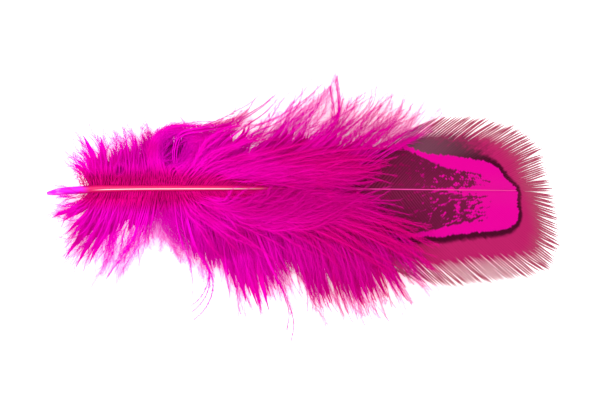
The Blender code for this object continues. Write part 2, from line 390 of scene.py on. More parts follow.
@dataclass(frozen=True)
class DownDyeAndShade(Finish):
    """The dye on the down: crimson by the shaft, magenta outwards, in uneven streaks.

    A barb is root by the shaft and body further out, where shade streaks it. Tail takes over
    towards the vane and dusk beside the shaft. Comb is painted shade in the slits between the
    barbs' roots, and deep is painted shade in the hollows.
    Root_to_body is measured along a barb and the other places on the object, all in
    millimetres.
    """

    root: Colour = (0.84, 0.0008, 0.27, 1.0)
    body: Colour = (0.96, 0.0008, 0.68, 1.0)
    shade: Colour = (0.8, 0.0004, 0.4, 1.0)
    tail: Colour = (0.72, 0.0008, 0.2, 1.0)
    dusk: Colour = (0.66, 0.0004, 0.28, 1.0)
    # comb and deep are painted shade: comb in the slits between barbs' roots, deep in hollows.
    comb: Colour = (0.3, 0.0004, 0.08, 1.0)
    deep: Colour = (0.26, 0.0004, 0.14, 1.0)
    root_to_body: Range = (1.4, 4.0)
    tail_x: Range = (-26.0, 17.0)
    dusk_x: Range = (-14.0, -5.0)
    dusk_y: Range = (4.6, 0.8)
    combed_x: Range = (-25.0, -22.5)
    combed_y: Range = (-0.2, 0.2)
    tooth_length: Range = (3.4, 1.6)
    glow: float = 0.12
    streak: float = 0.3
    patch: float = 1.9

    def shader(self, board: NodeBoard) -> Socket:
        """Wire the shader.

        Args:
            board: the board of the material's empty tree.

        Returns:
            The shader.
        """
        place = board.place()
        x, y, _ = board.split(place)
        along, tone = board.read("along"), board.read("tone")
        fibre = board.out("ShaderNodeCombineXYZ", {
            0: board.times(along, 0.3), 1: board.times(board.read("side"), 1.9),
            2: board.times(tone, 61.0),
        })
        strand = board.noise(fibre, 1.0)
        cloud = board.noise(place, (115.0, 210.0, 210.0))
        uneven = board.plus(board.swing(strand, self.streak), board.swing(cloud, self.patch))
        shaded = board.step(board.plus(board.times(tone, 0.12), uneven), -0.2, 0.6)
        colour = board.mix(shaded, self.body, self.shade)
        tailward = board.step_mm(x, self.tail_x)
        colour = board.mix(board.times(tailward, 0.9), colour, self.tail)
        beside = board.step_mm(board.math("ABSOLUTE", y), self.dusk_y)
        beside = board.times(beside, board.step_mm(x, self.dusk_x), 0.75)
        colour = board.mix(beside, colour, self.dusk)
        colour = board.mix(board.step(along, *self.root_to_body), self.root, colour)
        # Painted shade in the slits between barb roots: comb colour on barb edges by the shaft.
        combed = board.math(
            "MAXIMUM", board.step_mm(y, self.combed_y), board.step_mm(x, self.combed_x)
        )
        between = board.times(board.step(board.read("rib"), 0.45, 0.95),
                              board.step(along, *self.tooth_length), board.times(combed, 0.8))
        colour = board.mix(between, colour, self.comb)
        # Painted shade deep in the hollows, in the deep colour.
        pit = board.times(board.step(board.read("pit"), 0.08, 0.6), 0.85)
        return board.fibres(board.mix(pit, colour, self.deep), strand, self.glow, 0.1)


@dataclass(frozen=True)
class VaneDyeAndShading(Finish):
    """The vane's markings: a hot pink loop with a dark edge, flecks inside, rose outside. Each
    barb has a painted highlight along its crest and painted shade along its edges.

    Stations and reaches are in millimetres; the fringe is measured from the rim.
    """

    loop: Colour = dye(252, 0, 172)
    edge: Colour = dye(70, 8, 38)
    ash: Colour = dye(122, 72, 92)
    dark: Colour = dye(115, 25, 67)
    wine: Colour = dye(150, 8, 82)
    rose: Colour = dye(210, 38, 116)
    fringe: Colour = dye(196, 90, 117)
    # ridge is a painted highlight on the barbs' crests; seam is painted shade at their edges.
    ridge: Colour = dye(214, 62, 124)
    painted_seam_shade: Colour = dye(120, 10, 58)
    fringe_depth: Range = (5.8, 2.0)
    ash_stations: Range = (69.0, 56.0)
    ash_reach: Range = (4.0, 6.0)
    pinker_stations: Range = (60.0, 68.5)
    shaft_stations: Range = (57.0, 60.0)
    shaft_reach: Range = (0.9, 0.2)
    wine_stations: Range = (54.0, 60.0)
    highlight_reach: Range = (3.4, 0.6)
    fleck_size: Range = (0.56, 0.64)
    glow: float = 0.22

    def shader(self, board: NodeBoard) -> Socket:
        """Wire the shader.

        Args:
            board: the board of the material's empty tree.

        Returns:
            The shader.
        """
        place = board.read("place", "Vector")
        station, reach, _ = board.split(place)
        aside = board.math("ABSOLUTE", reach)
        rib = board.read("rib")
        fleck = board.noise(place, (1.7, 2.6, 1.0), 1.0)
        ragged = board.swing(fleck, 0.5)
        outer, inner, band = [
            board.plus(board.read(name), ragged) for name in ("outer", "inner", "band")
        ]
        rimward = board.step(board.read("to_rim"), *self.fringe_depth)
        colour = board.mix(rimward, self.rose, self.fringe)
        ashen = board.times(
            board.step(station, *self.ash_stations), board.step(reach, *self.ash_reach)
        )
        edge = board.mix(ashen, self.edge, self.ash)
        colour = board.mix(board.step(band, -1.35, -0.65), colour, edge)
        colour = board.mix(board.step(outer, -0.07, 0.07), colour, self.loop)
        tipward = board.times(board.step(station, *self.pinker_stations), 0.24)
        by_shaft = board.times(board.step(aside, *self.shaft_reach),
                               board.step(station, *self.shaft_stations), 0.16)
        mottle = board.plus(board.noise(place, (0.95, 2.5, 1.0), 3.0), tipward, by_shaft)
        tint = board.mix(board.step(station, *self.wine_stations), self.wine, self.loop)
        inside = board.mix(board.step(mottle, *self.fleck_size), self.dark, tint)
        colour = board.mix(board.step(inner, -0.05, 0.12), colour, inside)
        # A painted highlight along each barb's crest in the ridge colour, stronger by the shaft.
        strength = board.plus(board.times(board.step(aside, *self.highlight_reach), 0.22), 0.14)
        painted_crest_highlight = board.times(board.step(rib, 0.5, 0.0), strength)
        colour = board.mix(painted_crest_highlight, colour, self.ridge)
        # Painted shade along each barb's edges, in the rose outside the dark band.
        painted_seam_shade = board.times(board.step(rib, 0.55, 1.0), board.step(band, -0.8, -1.6), 0.5)
        return board.fibres(board.mix(painted_seam_shade, colour, self.painted_seam_shade), fleck, self.glow)


@dataclass(frozen=True)
class QuillHornAndHighlight(Finish):
    """Dyed horn: hot pink sides, a painted highlight along the back, and a clear, paler cut end.

    Stations along the shaft are in millimetres.
    """

    side: Colour = dye(238, 2, 112)
    end: Colour = dye(255, 0, 255)
    # ridge is the white of the painted highlight along the back; pale spots by the point use it
    # too.
    ridge: Colour = dye(255, 250, 255)
    thin: Colour = dye(255, 66, 172)
    clear_end: Range = (6.6, 4.6)
    pale_end: Range = (4.6, 1.2)
    highlight_starts: Range = (6.4, 9.0)
    highlight_stops: Range = (34.0, 27.0)
    highlight_width: Range = (0.09, 0.035)
    thin_from: Range = (36.0, 44.0)

    def shader(self, board: NodeBoard) -> Socket:
        """Wire the shader.

        Args:
            board: the board of the material's empty tree.

        Returns:
            The shader.
        """
        place, station = board.place(), board.read("station")
        grain = board.noise(place, (300.0, 3000.0, 3000.0), 3.0)
        spot = board.noise(place, (500.0, 1500.0, 1500.0))
        colour = board.mix(board.step(station, *self.clear_end), self.side, self.end)
        pale = board.times(
            board.step(station, *self.pale_end), board.step(spot, 0.5, 0.66), 0.2
        )
        colour = board.mix(pale, colour, self.ridge)
        # A painted highlight: a white line along the back of the shaft.
        line = board.times(board.step(board.read("ridge"), *self.highlight_width),
                           board.step(station, *self.highlight_starts),
                           board.step(station, *self.highlight_stops))
        colour = board.mix(line, colour, self.ridge)
        colour = board.mix(board.step(station, *self.thin_from), colour, self.thin)
        colour = board.mix(board.times(board.step(grain, 0.5, 0.8), 0.15), colour, self.side)
        return board.out("ShaderNodeBsdfPrincipled", {
            "Base Color": colour, "Roughness": 0.35, "Specular IOR Level": 0.2,
            "Subsurface Weight": 0.06, "Subsurface Radius": (1.0, 0.3, 0.8),
            "Subsurface Scale": 0.3 * MM, "Normal": board.bump(grain, 0.25, 0.02),
        })


@dataclass(frozen=True)
class TableTop(Finish):
    """A white, finely textured light table."""

    colour: Colour = (0.93, 0.93, 0.93, 1.0)
    shade: Colour = (0.9, 0.9, 0.9, 1.0)
    light: Colour = (1.0, 1.0, 1.0, 1.0)
    shine: float = 0.5

    def shader(self, board: NodeBoard) -> Socket:
        """Return the shader, wired on the board of the material's empty tree."""
        grain = board.noise(board.place(), 900.0, 4.0)
        return board.out("ShaderNodeBsdfPrincipled", {
            "Base Color": board.mix(board.step(grain, 0.3, 0.7), self.shade, self.colour),
            "Roughness": 0.85, "Specular IOR Level": 0.2,
            "Emission Color": self.light, "Emission Strength": self.shine,
        })


@dataclass
class ShaftAxis:
    """The middle line of the quill and shaft, which everything else grows from."""

    length: float = 70.6
    arch: float = 2.6
    bow: float = 0.36
    droop: float = 0.22
    tip_droop: float = 0.18
    droop_until: Range = (1.5, 9.0)
    tip_droop_until: Range = (0.2, 2.4)
    quill_radius: float = 0.66
    resting: float = 0.97
    arch_skew: float = 0.85
    bow_skew: float = 0.6
    radii: Outline = (
        (-0.2, 0.1), (-0.17, 0.18), (-0.1, 0.24), (0.1, 0.3), (0.4, 0.36), (0.9, 0.45),
        (1.95, 0.57), (3.0, 0.59), (6.0, 0.6), (13.0, 0.46), (27.0, 0.42), (33.0, 0.3),
        (40.0, 0.16), (47.0, 0.11), (60.0, 0.08), (70.6, 0.05),
    )
    origin: Array = field(default_factory=lambda: np.zeros(3))

    def settle(self, solid: bpy.types.Object) -> None:
        """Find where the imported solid's quill point is, and measure stations from it.

        Args:
            solid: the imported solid.
        """
        corners = np.array([tuple(vertex.co) for vertex in solid.data.vertices]) / MM
        cap = corners[corners[:, 0] < corners[:, 0].min() + 0.12]
        middle = 0.5 * (cap.min(axis=0) + cap.max(axis=0))
        self.origin = middle - self.point(np.zeros(1))[0]
        self.origin[1] -= self.droop + self.tip_droop

    def point(self, station: Array) -> Array:
        """Find the middle of the shaft.

        Args:
            station: stations along the shaft.

        Returns:
            One place for each station.
        """
        share = np.clip(station / self.length, 0.0, 1.0)
        height = self.quill_radius * self.resting
        height = height + self.arch * np.sin(np.pi * share ** self.arch_skew)
        aside = self.bow * np.sin(np.pi * share ** self.bow_skew)
        aside = aside - self.droop * (1.0 - ease(station, *self.droop_until))
        aside = aside - self.tip_droop * (1.0 - ease(station, *self.tip_droop_until))
        return np.stack([station, aside, height], axis=-1)

    def radius(self, station: Array) -> Array:
        """Return the shaft's radius at each station."""
        return np.interp(station, *np.array(self.radii).T)


@dataclass
class Strands:
    """Barbs as lines of points, before their bodies and barbules are grown on them.

    Each array has one row for each barb and one column for each point along it. Sizes are in
    millimetres, and places are measured from the quill's point.
    """

    places: Array
    thick: Array
    reach: Array
    tone: Array
    extra: dict[str, Array] = field(default_factory=dict)
    table_gap: float = 0.06
    slack: float = 1.4
    least_reach: float = 0.05
    least_level: float = 0.2

    def line_object(self, name: str, origin: Array) -> bpy.types.Object:
        """Make an object of edges along the barbs, with their sizes as attributes.

        Dip is how steeply a barbule may point down before its tip meets the table. Slack
        allows for barbules that are longer than the reach.

        Args:
            name: the object's name.
            origin: where the quill's point is, in millimetres.

        Returns:
            The object, in the scene's collection.
        """
        index = np.arange(self.tone.size).reshape(self.tone.shape)
        edges = np.stack([index[:, :-1], index[:, 1:]], axis=-1).reshape(-1, 2)
        mesh = bpy.data.meshes.new(name)
        corners = (self.places + origin).reshape(-1, 3) * MM
        mesh.from_pydata(corners.tolist(), edges.tolist(), [])
        flow = unit(np.gradient(self.places, axis=1))
        above = self.places[..., 2] + origin[2] - self.table_gap
        level = np.sqrt(np.maximum(1.0 - flow[..., 2] ** 2, self.least_level ** 2))
        longest = np.maximum(self.slack * self.reach, self.least_reach)
        dip = above / longest * level + flow[..., 2]
        mark(
            mesh, thick=self.thick * MM, reach=self.reach * MM, tone=self.tone,
            along=travelled(self.places), dip=np.clip(dip, -1.0, 1.0), flow=flow,
            across=unit(np.cross(np.array(UP), flow)), **self.extra,
        )
        return put(name, mesh)


@dataclass
class BarbTree:
    """Geometry Nodes that give each line a barb's body and set barbules along it.

    Spacing is in millimetres. Radius is a share of a barbule's length, so that short ones are
    finer, and flatness is how high a barb's tent is for half its width.
    """

    section: Section = Section.TENT
    spacing: float = 0.16
    radius: float = 0.04
    sweep: Range = (22.0, 40.0)
    lift: float = 0.12
    bend: float = 0.12
    seed: int = 1
    flatness: float = 0.16
    keel: float = 0.4
    rows: int = 2
    shortest: float = 0.06
    lengths: Range = (0.6, 1.2)

    def _inputs(self, tree: bpy.types.NodeTree, material: Material) -> dict[str, object]:
        """Add the tree's named inputs.

        Args:
            tree: the tree.
            material: what the barbs are finished with.

        Returns:
            The inputs' values by socket identifier.
        """
        wanted = {
            "Lines": ("Geometry", None),
            "Barbule Spacing": ("Float", self.spacing * MM),
            "Barbule Radius": ("Float", self.radius),
            "Least Sweep": ("Float", math.radians(self.sweep[0])),
            "Most Sweep": ("Float", math.radians(self.sweep[1])),
            "Lift": ("Float", self.lift),
            "Rows": ("Int", self.rows),
            "Bend": ("Float", self.bend),
            "Seed": ("Int", self.seed),
            "Material": ("Material", material),
        }
        values = {}
        for name, (kind, value) in wanted.items():
            socket = tree.interface.new_socket(
                name=name, in_out="INPUT", socket_type=f"NodeSocket{kind}"
            )
            if value is not None:
                values[socket.identifier] = value
        tree.interface.new_socket(name="Barbs", in_out="OUTPUT", socket_type="NodeSocketGeometry")
        return values

    def _profile(self, board: NodeBoard) -> Socket:
        """Make the barb's section, with its points' places across the barb stored on it.

        Args:
            board: the board of the tree.

        Returns:
            The section's outline.
        """
        if self.section is Section.ROUND:
            outline = board.out(
                "GeometryNodeCurvePrimitiveCircle", {"Resolution": 3, "Radius": 1.0},
                mode="RADIUS",
            )
        else:
            outline = board.out("GeometryNodeCurvePrimitiveQuadrilateral", {
                "Point 1": (-1.0, 0.0, 0.0), "Point 2": (0.0, self.flatness, 0.0),
                "Point 3": (1.0, 0.0, 0.0), "Point 4": (0.0, -self.keel * self.flatness, 0.0),
            }, mode="POINTS")
        across = board.split(board.out("GeometryNodeInputPosition"))[0]
        for name, value in (("side", across), ("rib", board.math("ABSOLUTE", across))):
            outline = board.out(
                "GeometryNodeStoreNamedAttribute",
                {"Geometry": outline, "Name": name, "Value": value},
                data_type="FLOAT", domain="POINT",
            )
        return outline

    def _barbule(self, board: NodeBoard, radius: Socket, bend: Socket) -> Socket:
        """Make one barbule: a thin spike of unit length along Z that bends towards X.

        Args:
            board: the board of the tree.
            radius: its radius at the root.
            bend: how far its tip bends.

        Returns:
            The barbule.
        """
        spike = board.out("GeometryNodeMeshCone", {
            "Vertices": 3, "Radius Top": 0.0, "Radius Bottom": radius, "Depth": 1.0,
        })
        height = board.split(board.out("GeometryNodeInputPosition"))[2]
        aside = board.times(board.math("POWER", height, 2.0), bend)
        offset = board.out("ShaderNodeCombineXYZ", {0: aside})
        return board.out("GeometryNodeSetPosition", {"Geometry": spike, "Offset": offset})

    @staticmethod
    def _read(board: NodeBoard, name: str, kind: str = "FLOAT") -> Socket:
        """Return a named attribute inside the tree."""
        node = board.add("GeometryNodeInputNamedAttribute", {"Name": name}, data_type=kind)
        return node.outputs["Attribute"]

    @staticmethod
    def _random(board: NodeBoard, low: object, high: object, seed: Socket, salt: float) -> Socket:
        """Return a random number between two values, one for each barbule."""
        inputs = {2: low, 3: high, "Seed": board.plus(seed, salt)}
        return board.add("FunctionNodeRandomValue", inputs, data_type="FLOAT").outputs[1]

    def _barbules(
        self, board: NodeBoard, given: bpy.types.bpy_prop_collection, lines: Socket
    ) -> Socket:
        """Set barbules along the lines, in rows that alternate between the two sides.

        Args:
            board: the board of the tree.
            given: the tree's inputs.
            lines: the barbs' curves.

        Returns:
            The barbules, as instances.
        """
        seed, lift = given["Seed"], given["Lift"]
        points = board.out(
            "GeometryNodeCurveToPoints", {0: lines, "Length": given["Barbule Spacing"]},
            mode="LENGTH",
        )
        rows = board.add(
            "GeometryNodeDuplicateElements", {"Geometry": points, "Amount": given["Rows"]},
            domain="POINT",
        )
        parity = board.math("MODULO", rows.outputs["Duplicate Index"], 2.0)
        sign = board.math("SUBTRACT", board.times(parity, 2.0), 1.0)
        angle = self._random(board, given["Least Sweep"], given["Most Sweep"], seed, 11.0)
        down = board.times(board.math("MINIMUM", lift, self._read(board, "dip")), -1.0)
        up = self._random(board, down, board.math("MAXIMUM", lift, down), seed, 23.0)
        flow = self._read(board, "flow", "FLOAT_VECTOR")
        across = self._read(board, "across", "FLOAT_VECTOR")
        ahead = board.scaled(flow, board.math("COSINE", angle))
        aside = board.scaled(across, board.times(board.math("SINE", angle), sign))
        level = board.vector("ADD", ahead, aside)
        turn = board.out(
            "FunctionNodeAxesToRotation",
            {0: board.vector("ADD", level, board.scaled(UP, up)), 1: flow},
            primary_axis="Z", secondary_axis="X",
        )
        length = board.times(
            self._read(board, "reach"), self._random(board, *self.lengths, seed, 37.0)
        )
        long_enough = board.out(
            "FunctionNodeCompare", {0: length, 1: self.shortest * MM},
            data_type="FLOAT", operation="GREATER_THAN",
        )
        return board.out("GeometryNodeInstanceOnPoints", {
            "Points": rows.outputs[0], "Selection": long_enough,
            "Instance": self._barbule(board, given["Barbule Radius"], given["Bend"]),
            "Rotation": turn, "Scale": length,
        })

    def tree(self, name: str, material: Material) -> tuple[bpy.types.NodeTree, dict[str, object]]:
        """Build the node tree.

        Args:
            name: what the tree is called.
            material: what the barbs are finished with.

        Returns:
            The tree, and its inputs' values by socket identifier.
        """
        tree = bpy.data.node_groups.new(name, "GeometryNodeTree")
        values = self._inputs(tree, material)
        board = NodeBoard(tree)
        given = board.add("NodeGroupInput").outputs
        curve = board.out("GeometryNodeMeshToCurve", {0: given["Lines"]})
        upright = board.out("GeometryNodeSetCurveNormal", {0: curve}, mode="Z_UP")
        rolled = {0: upright, "Tilt": self._read(board, "roll")}
        body = board.out("GeometryNodeCurveToMesh", {
            "Curve": board.out("GeometryNodeSetCurveTilt", rolled),
            "Profile Curve": self._profile(board), "Scale": self._read(board, "thick"),
            "Fill Caps": True,
        })
        joined = board.add("GeometryNodeJoinGeometry", {0: body})
        tree.links.new(self._barbules(board, given, upright), joined.inputs[0])
        real = board.out("GeometryNodeRealizeInstances", {0: joined.outputs[0]})
        flat = {"Geometry": real, "Shade Smooth": False}
        dressed = board.out("GeometryNodeSetMaterial", {
            "Geometry": board.out("GeometryNodeSetShadeSmooth", flat),
            "Material": given["Material"],
        })
        board.add("NodeGroupOutput", {0: dressed})
        return tree, values

    def grow(
        self, strands: Strands, axis: ShaftAxis, name: str, material: Material
    ) -> bpy.types.Object:
        """Grow barbs on the strands, as one plain mesh.

        Args:
            strands: the barbs' lines and sizes.
            axis: the shaft's middle line.
            name: the piece's name.
            material: what it is finished with.

        Returns:
            The finished piece, in the scene's collection.
        """
        lines = strands.line_object(f"{name}_lines", axis.origin)
        tree, values = self.tree(f"{name}_tree", material)
        modifier = lines.modifiers.new("barbs", "NODES")
        modifier.node_group = tree
        for identifier, value in values.items():
            modifier[identifier] = value
        graph = bpy.context.evaluated_depsgraph_get()
        mesh = bpy.data.meshes.new_from_object(lines.evaluated_get(graph))
        mesh.name = name
        bpy.data.objects.remove(lines, do_unlink=True)
        bpy.data.node_groups.remove(tree)
        lay_out_from_above(mesh)
        return put(name, mesh)


@dataclass(frozen=True)
class Hollow:
    """A small gap that the down parts around, with painted shade: place and size in millimetres.
    """

    station: float
    reach: float
    radius: float
    push_spread: float = 1.6
    shade_spread: float = 1.15

    def part(self, plan: Array, share: float) -> Array:
        """Part lines around the gap.

        Args:
            plan: the lines in plan.
            share: how much of the gap's size they move by.

        Returns:
            The moved lines.
        """
        offset = plan - np.array([self.station, self.reach])
        far = np.maximum(np.linalg.norm(offset, axis=-1, keepdims=True), TINY)
        push = share * self.radius * np.exp(-((far / (self.push_spread * self.radius)) ** 2))
        return plan + offset / far * push

    def shade(self, plan: Array) -> Array:
        """Return how deep in the gap each point of the lines lies, 0 to 1: its painted shade."""
        far = np.linalg.norm(plan - np.array([self.station, self.reach]), axis=-1)
        return np.exp(-((far / (self.shade_spread * self.radius)) ** 2))


@dataclass(frozen=True)
class Growth:
    """How one population of downy barbs grows. Sizes are in millimetres.

    The body's half width is web by the shaft, mat further out, and end at the tip. Comb is how
    far apart the barbs leave the shaft, where several run together; flame is how much more
    sharply they gather in tips near the quill. Hair is about the barbules.
    """

    spacing: float
    section: Section = Section.TENT
    web: float = 0.05
    mat: float = 0.2
    end: float = 0.03
    taper: Range = (0.45, 1.0)
    dense: bool = True
    length: Range = (0.78, 1.0)
    valley: float = 0.3
    clump: float = 0.7
    stray: float = 0.4
    wave: float = 0.25
    hair: float = 1.3
    hair_tip: float = 0.5
    hair_from: Range = (-1.0, 0.0)
    hair_spacing: float = 0.13
    hair_radius: float = 0.018
    sweep: Range = (14.0, 30.0)
    bend: float = 0.1
    lift: float = 0.25
    tip_height: float = 0.3
    height_spread: float = 0.5
    rise: float = 0.9
    roll: float = 25.0
    comb: float = 0.0
    flame: float = 1.0
    quill_width: float = 1.0
    parting: float = 1.0

    def barbs(self, seed: int, flatness: float) -> BarbTree:
        """Return the node tree that grows barbs of this kind."""
        return BarbTree(self.section, self.hair_spacing, self.hair_radius, self.sweep,
                        self.lift, self.bend, seed, flatness)


@dataclass
class Tract:
    """One population of downy barbs on one side of the shaft, laid along guide lines.

    Combed is over which share of their length the barbs leave the teeth of the comb.
    Flame and quill width change between the stations flame_at and quill_at.
    """

    name: str
    side: Side
    growth: Growth
    guides: tuple[tuple, ...]
    hollows: tuple[Hollow, ...] = ()
    seed: int = 1
    curl: float = 0.0
    steps: int = 26
    combed: Range = (0.06, 0.24)
    flame_at: tuple[float, ...] = (13.0, 15.4, 30.0, 36.0)
    quill_at: Range = (6.0, 17.0)
    most_pull: float = 0.95
    most_valley: float = 0.68

    def guide_lines(self, axis: ShaftAxis, shares: Array) -> Array:
        """Return the guides' lines in plan, one row of points for each."""
        raise NotImplementedError

    def guide_facts(self) -> tuple[Array, Array, Array]:
        """Return the guides' root stations, dense shares and bare lengths."""
        raise NotImplementedError

    def strands(self, axis: ShaftAxis) -> Strands:
        """Lay the tract's barbs along its guides.

        Args:
            axis: the shaft's middle line.

        Returns:
            The barbs' lines and sizes.
        """
        chance = np.random.default_rng(self.seed)
        grow = self.growth
        shares = np.linspace(0.0, 1.0, self.steps)
        curves = self.guide_lines(axis, shares)
        stations, dense, bare = self.guide_facts()
        count = int((stations[-1] - stations[0]) / grow.spacing) + 2
        root = np.linspace(stations[0], stations[-1], count)
        root = root + chance.uniform(-0.25, 0.25, count) * grow.spacing
        place = np.interp(root, stations, np.arange(len(stations)))
        before = np.clip(place.astype(int), 0, len(stations) - 2)
        part = (place - before)[:, None, None]
        own = curves[before] * (1.0 - part) + curves[before + 1] * part
        if grow.comb:
            tooth = np.round(root / grow.comb) * grow.comb + chance.normal(0.0, 0.02, count)
            own[..., 0] += (1.0 - ease(shares, *self.combed))[None] * (tooth - root)[:, None]
        nearest = np.clip(np.round(place).astype(int), 0, len(stations) - 1)
        flame = np.interp(root, self.flame_at, (grow.flame, 1.0, 1.0, 0.4))
        pull = (grow.clump * ease(shares, 0.1, 1.0))[None, :, None]
        pull = pull * (chance.uniform(0.4, 1.0, count) ** (1.0 / flame))[:, None, None]
        pull = np.clip(pull * flame[:, None, None], 0.0, self.most_pull)
        plan = own * (1.0 - pull) + curves[nearest] * pull
        valley = np.clip(grow.valley * flame, 0.0, self.most_valley)
        valley = valley * (2.0 * np.abs(place - nearest)) ** 1.5
        length = chance.uniform(*grow.length, count) * (1.0 - valley)
        if grow.dense:
            length = length * np.interp(root, stations, dense)
        plan = plan[:, :1] + (plan - plan[:, :1]) * length[:, None, None]
        phase = chance.uniform(0.0, 1.0, (count, 1))
        turns = chance.uniform(0.5, 1.7, (count, 1))
        wave = grow.wave * np.sin(FULL_TURN * (shares[None] * turns + phase))
        drift = chance.normal(0.0, grow.stray, (count, 1)) * shares[None] ** 1.6
        plan = plan + sideways(plan) * (wave * shares[None] + drift)[..., None]
        # How much shade is painted on each point, deep in the hollows.
        pit = np.zeros(plan.shape[:2])
        for hollow in self.hollows:
            plan = hollow.part(plan, grow.parting)
            pit = np.maximum(pit, hollow.shade(plan))
        swell = 0.5 + 0.5 * np.sin(root * 1.9 + chance.uniform(0.0, 6.0))
        layer = 0.45 * swell + 0.55 * chance.uniform(0.0, 1.0, count)
        tip = grow.tip_height + layer * grow.height_spread
        height = blend(axis.point(root)[:, 2:], tip[:, None], shares[None] ** 1.2)
        rise = grow.rise * blend(0.85, 1.15, layer)
        height = height + rise[:, None] * np.sin(np.pi * shares)[None]
        tone = 0.5 * chance.uniform(0.0, 1.0, len(stations))[nearest]
        tone = tone + 0.5 * chance.uniform(0.0, 1.0, count)
        full = np.ones((count, self.steps))
        roll = np.radians(grow.roll) * chance.normal(0.0, 1.0, (count, 1))
        roll = roll * np.sin(FULL_TURN * (0.7 * shares[None] + phase))
        places = raised(plan, height)
        far = travelled(places) - np.interp(root, stations, bare)[:, None]
        width = blend(grow.web, grow.mat, ease(far, -0.3, 0.9))
        width = blend(width, grow.end, ease(shares, *grow.taper)[None])
        width *= np.interp(root, self.quill_at, (grow.quill_width, 1.0))[:, None]
        fluffy = ease(far, 0.0, 2.2) * ease(shares, *grow.hair_from)[None]
        tapered = blend(1.0, grow.hair_tip, ease(shares, 0.5, 1.0))[None]
        return Strands(
            places, width, grow.hair * fluffy * tapered, tone[:, None] * full,
            {"roll": roll, "pit": pit},
        )

    def build(self, axis: ShaftAxis, material: Material) -> bpy.types.Object:
        """Grow the tract as one piece of the given material."""
        barbs = self.growth.barbs(self.seed, flatness=0.08)
        return barbs.grow(self.strands(axis), axis, self.name, material)


class LockTract(Tract):
    """A tract whose guides are locks that fan out from the shaft to the feather's edge.

    Each lock is its root's station, its tip's station, its tip's reach, the share of that
    reach that is densely matted, and how far its barbs are bare, in millimetres. Barbs leave
    the shaft almost square to it by the quill, and slant forward by the last down.
    """

    leaving_degrees = (104.0, 34.0)
    last_down = 47.5
    turned_share = 0.6
    curl_at = (38.0, 44.0)

    def guide_lines(self, axis: ShaftAxis, shares: Array) -> Array:
        """Curve each lock's middle line from the shaft to its tip.

        Args:
            axis: the shaft's middle line.
            shares: how far along each point is, from 0 to 1.

        Returns:
            The lines in plan, one row of points for each lock.
        """
        station, ahead, reach = np.array(self.guides).T[:3]
        sign = self.side.value
        roots = axis.point(station)[:, :2]
        tips = np.stack([ahead, sign * reach], axis=1)
        way = tips - roots
        heading = np.degrees(np.arctan2(sign * way[:, 1], way[:, 0]))
        natural = blend(*self.leaving_degrees, np.clip(station / self.last_down, 0.0, 1.0))
        leaving = np.radians(heading + (natural - heading) * self.turned_share)
        curl = self.curl * np.interp(station, self.curl_at, (1.0, 0.3))
        return bezier(roots, tips, leaving * sign, np.radians(heading + curl) * sign, shares)

    def guide_facts(self) -> tuple[Array, Array, Array]:
        """Return the locks' root stations, dense shares and bare lengths."""
        station, _, _, dense, bare = np.array(self.guides).T
        return station, dense, bare


class SweptTract(Tract):
    """A tract whose guides are swept over the feather through given places.

    Each guide is its root's station, how far its barbs are bare, and then the stations and
    reaches of the places that it passes, in millimetres.
    """

    def guide_lines(self, axis: ShaftAxis, shares: Array) -> Array:
        """Draw each guide smoothly from the shaft through its places.

        Args:
            axis: the shaft's middle line.
            shares: how far along each point is, from 0 to 1.

        Returns:
            The lines in plan, one row of points for each guide.
        """
        sign = np.array([1.0, self.side.value])
        lines = []
        for root, _, *places in self.guides:
            start = axis.point(np.array([root]))[0, :2]
            lines.append(smooth_path(np.array([start, *(np.array(places) * sign)]), shares))
        return np.stack(lines)

    def guide_facts(self) -> tuple[Array, Array, Array]:
        """Return the guides' root stations, dense shares and bare lengths."""
        roots, bare = np.array([guide[:2] for guide in self.guides]).T
        return roots, np.ones(len(roots)), bare


@dataclass(frozen=True)
class Wisp:
    """A few barbs that stand apart from the rest, from a root station through some places."""

    root: float
    places: Outline
    barbs: int = 1
    spread: float = 0.0
    width: float = 0.06
    hair: float = 0.5


@dataclass
class Wisps:
    """All the wisps, as one piece."""

    name: str
    wisps: tuple[Wisp, ...]
    growth: Growth
    seed: int = 41
    steps: int = 36

    def strands(self, axis: ShaftAxis) -> Strands:
        """Lay every wisp's barbs side by side along its line.

        Args:
            axis: the shaft's middle line.

        Returns:
            The barbs' lines and sizes.
        """
        chance = np.random.default_rng(self.seed)
        shares = np.linspace(0.0, 1.0, self.steps)
        swell = np.sin(np.pi * shares ** 0.8) + 0.25 * shares
        plans, facts = [], []
        for wisp in self.wisps:
            start = axis.point(np.array([wisp.root]))[0]
            line = smooth_path(np.array([start[:2], *wisp.places]), shares)[None]
            tone = chance.uniform(0.2, 0.9)
            for place in np.linspace(-1.0, 1.0, wisp.barbs) if wisp.barbs > 1 else (0.0,):
                end = chance.uniform(0.86, 1.0)
                own = line[:, :1] + (line - line[:, :1]) * end
                aside = wisp.spread * (place + chance.uniform(-0.3, 0.3))
                plans.append((own + sideways(own) * (aside * swell)[None, :, None])[0])
                facts.append((wisp.width, wisp.hair, start[2], tone))
        width, hair, base, tone = np.array(facts).T[..., None]
        grow = self.growth
        tip = grow.tip_height + chance.uniform(0.0, 1.0, tone.shape) * grow.height_spread
        height = blend(base, tip, shares[None] ** 1.2) + grow.rise * np.sin(np.pi * shares)[None]
        return Strands(
            raised(np.stack(plans), height),
            width * blend(1.0, 0.4, ease(shares, 0.5, 1.0))[None],
            hair * ease(shares, 0.2, 0.5) * blend(1.0, 0.5, shares),
            tone * np.ones(self.steps),
        )

    def build(self, axis: ShaftAxis, material: Material) -> bpy.types.Object:
        """Grow the wisps as one piece of the given material."""
        barbs = self.growth.barbs(self.seed, flatness=0.16)
        return barbs.grow(self.strands(axis), axis, self.name, material)


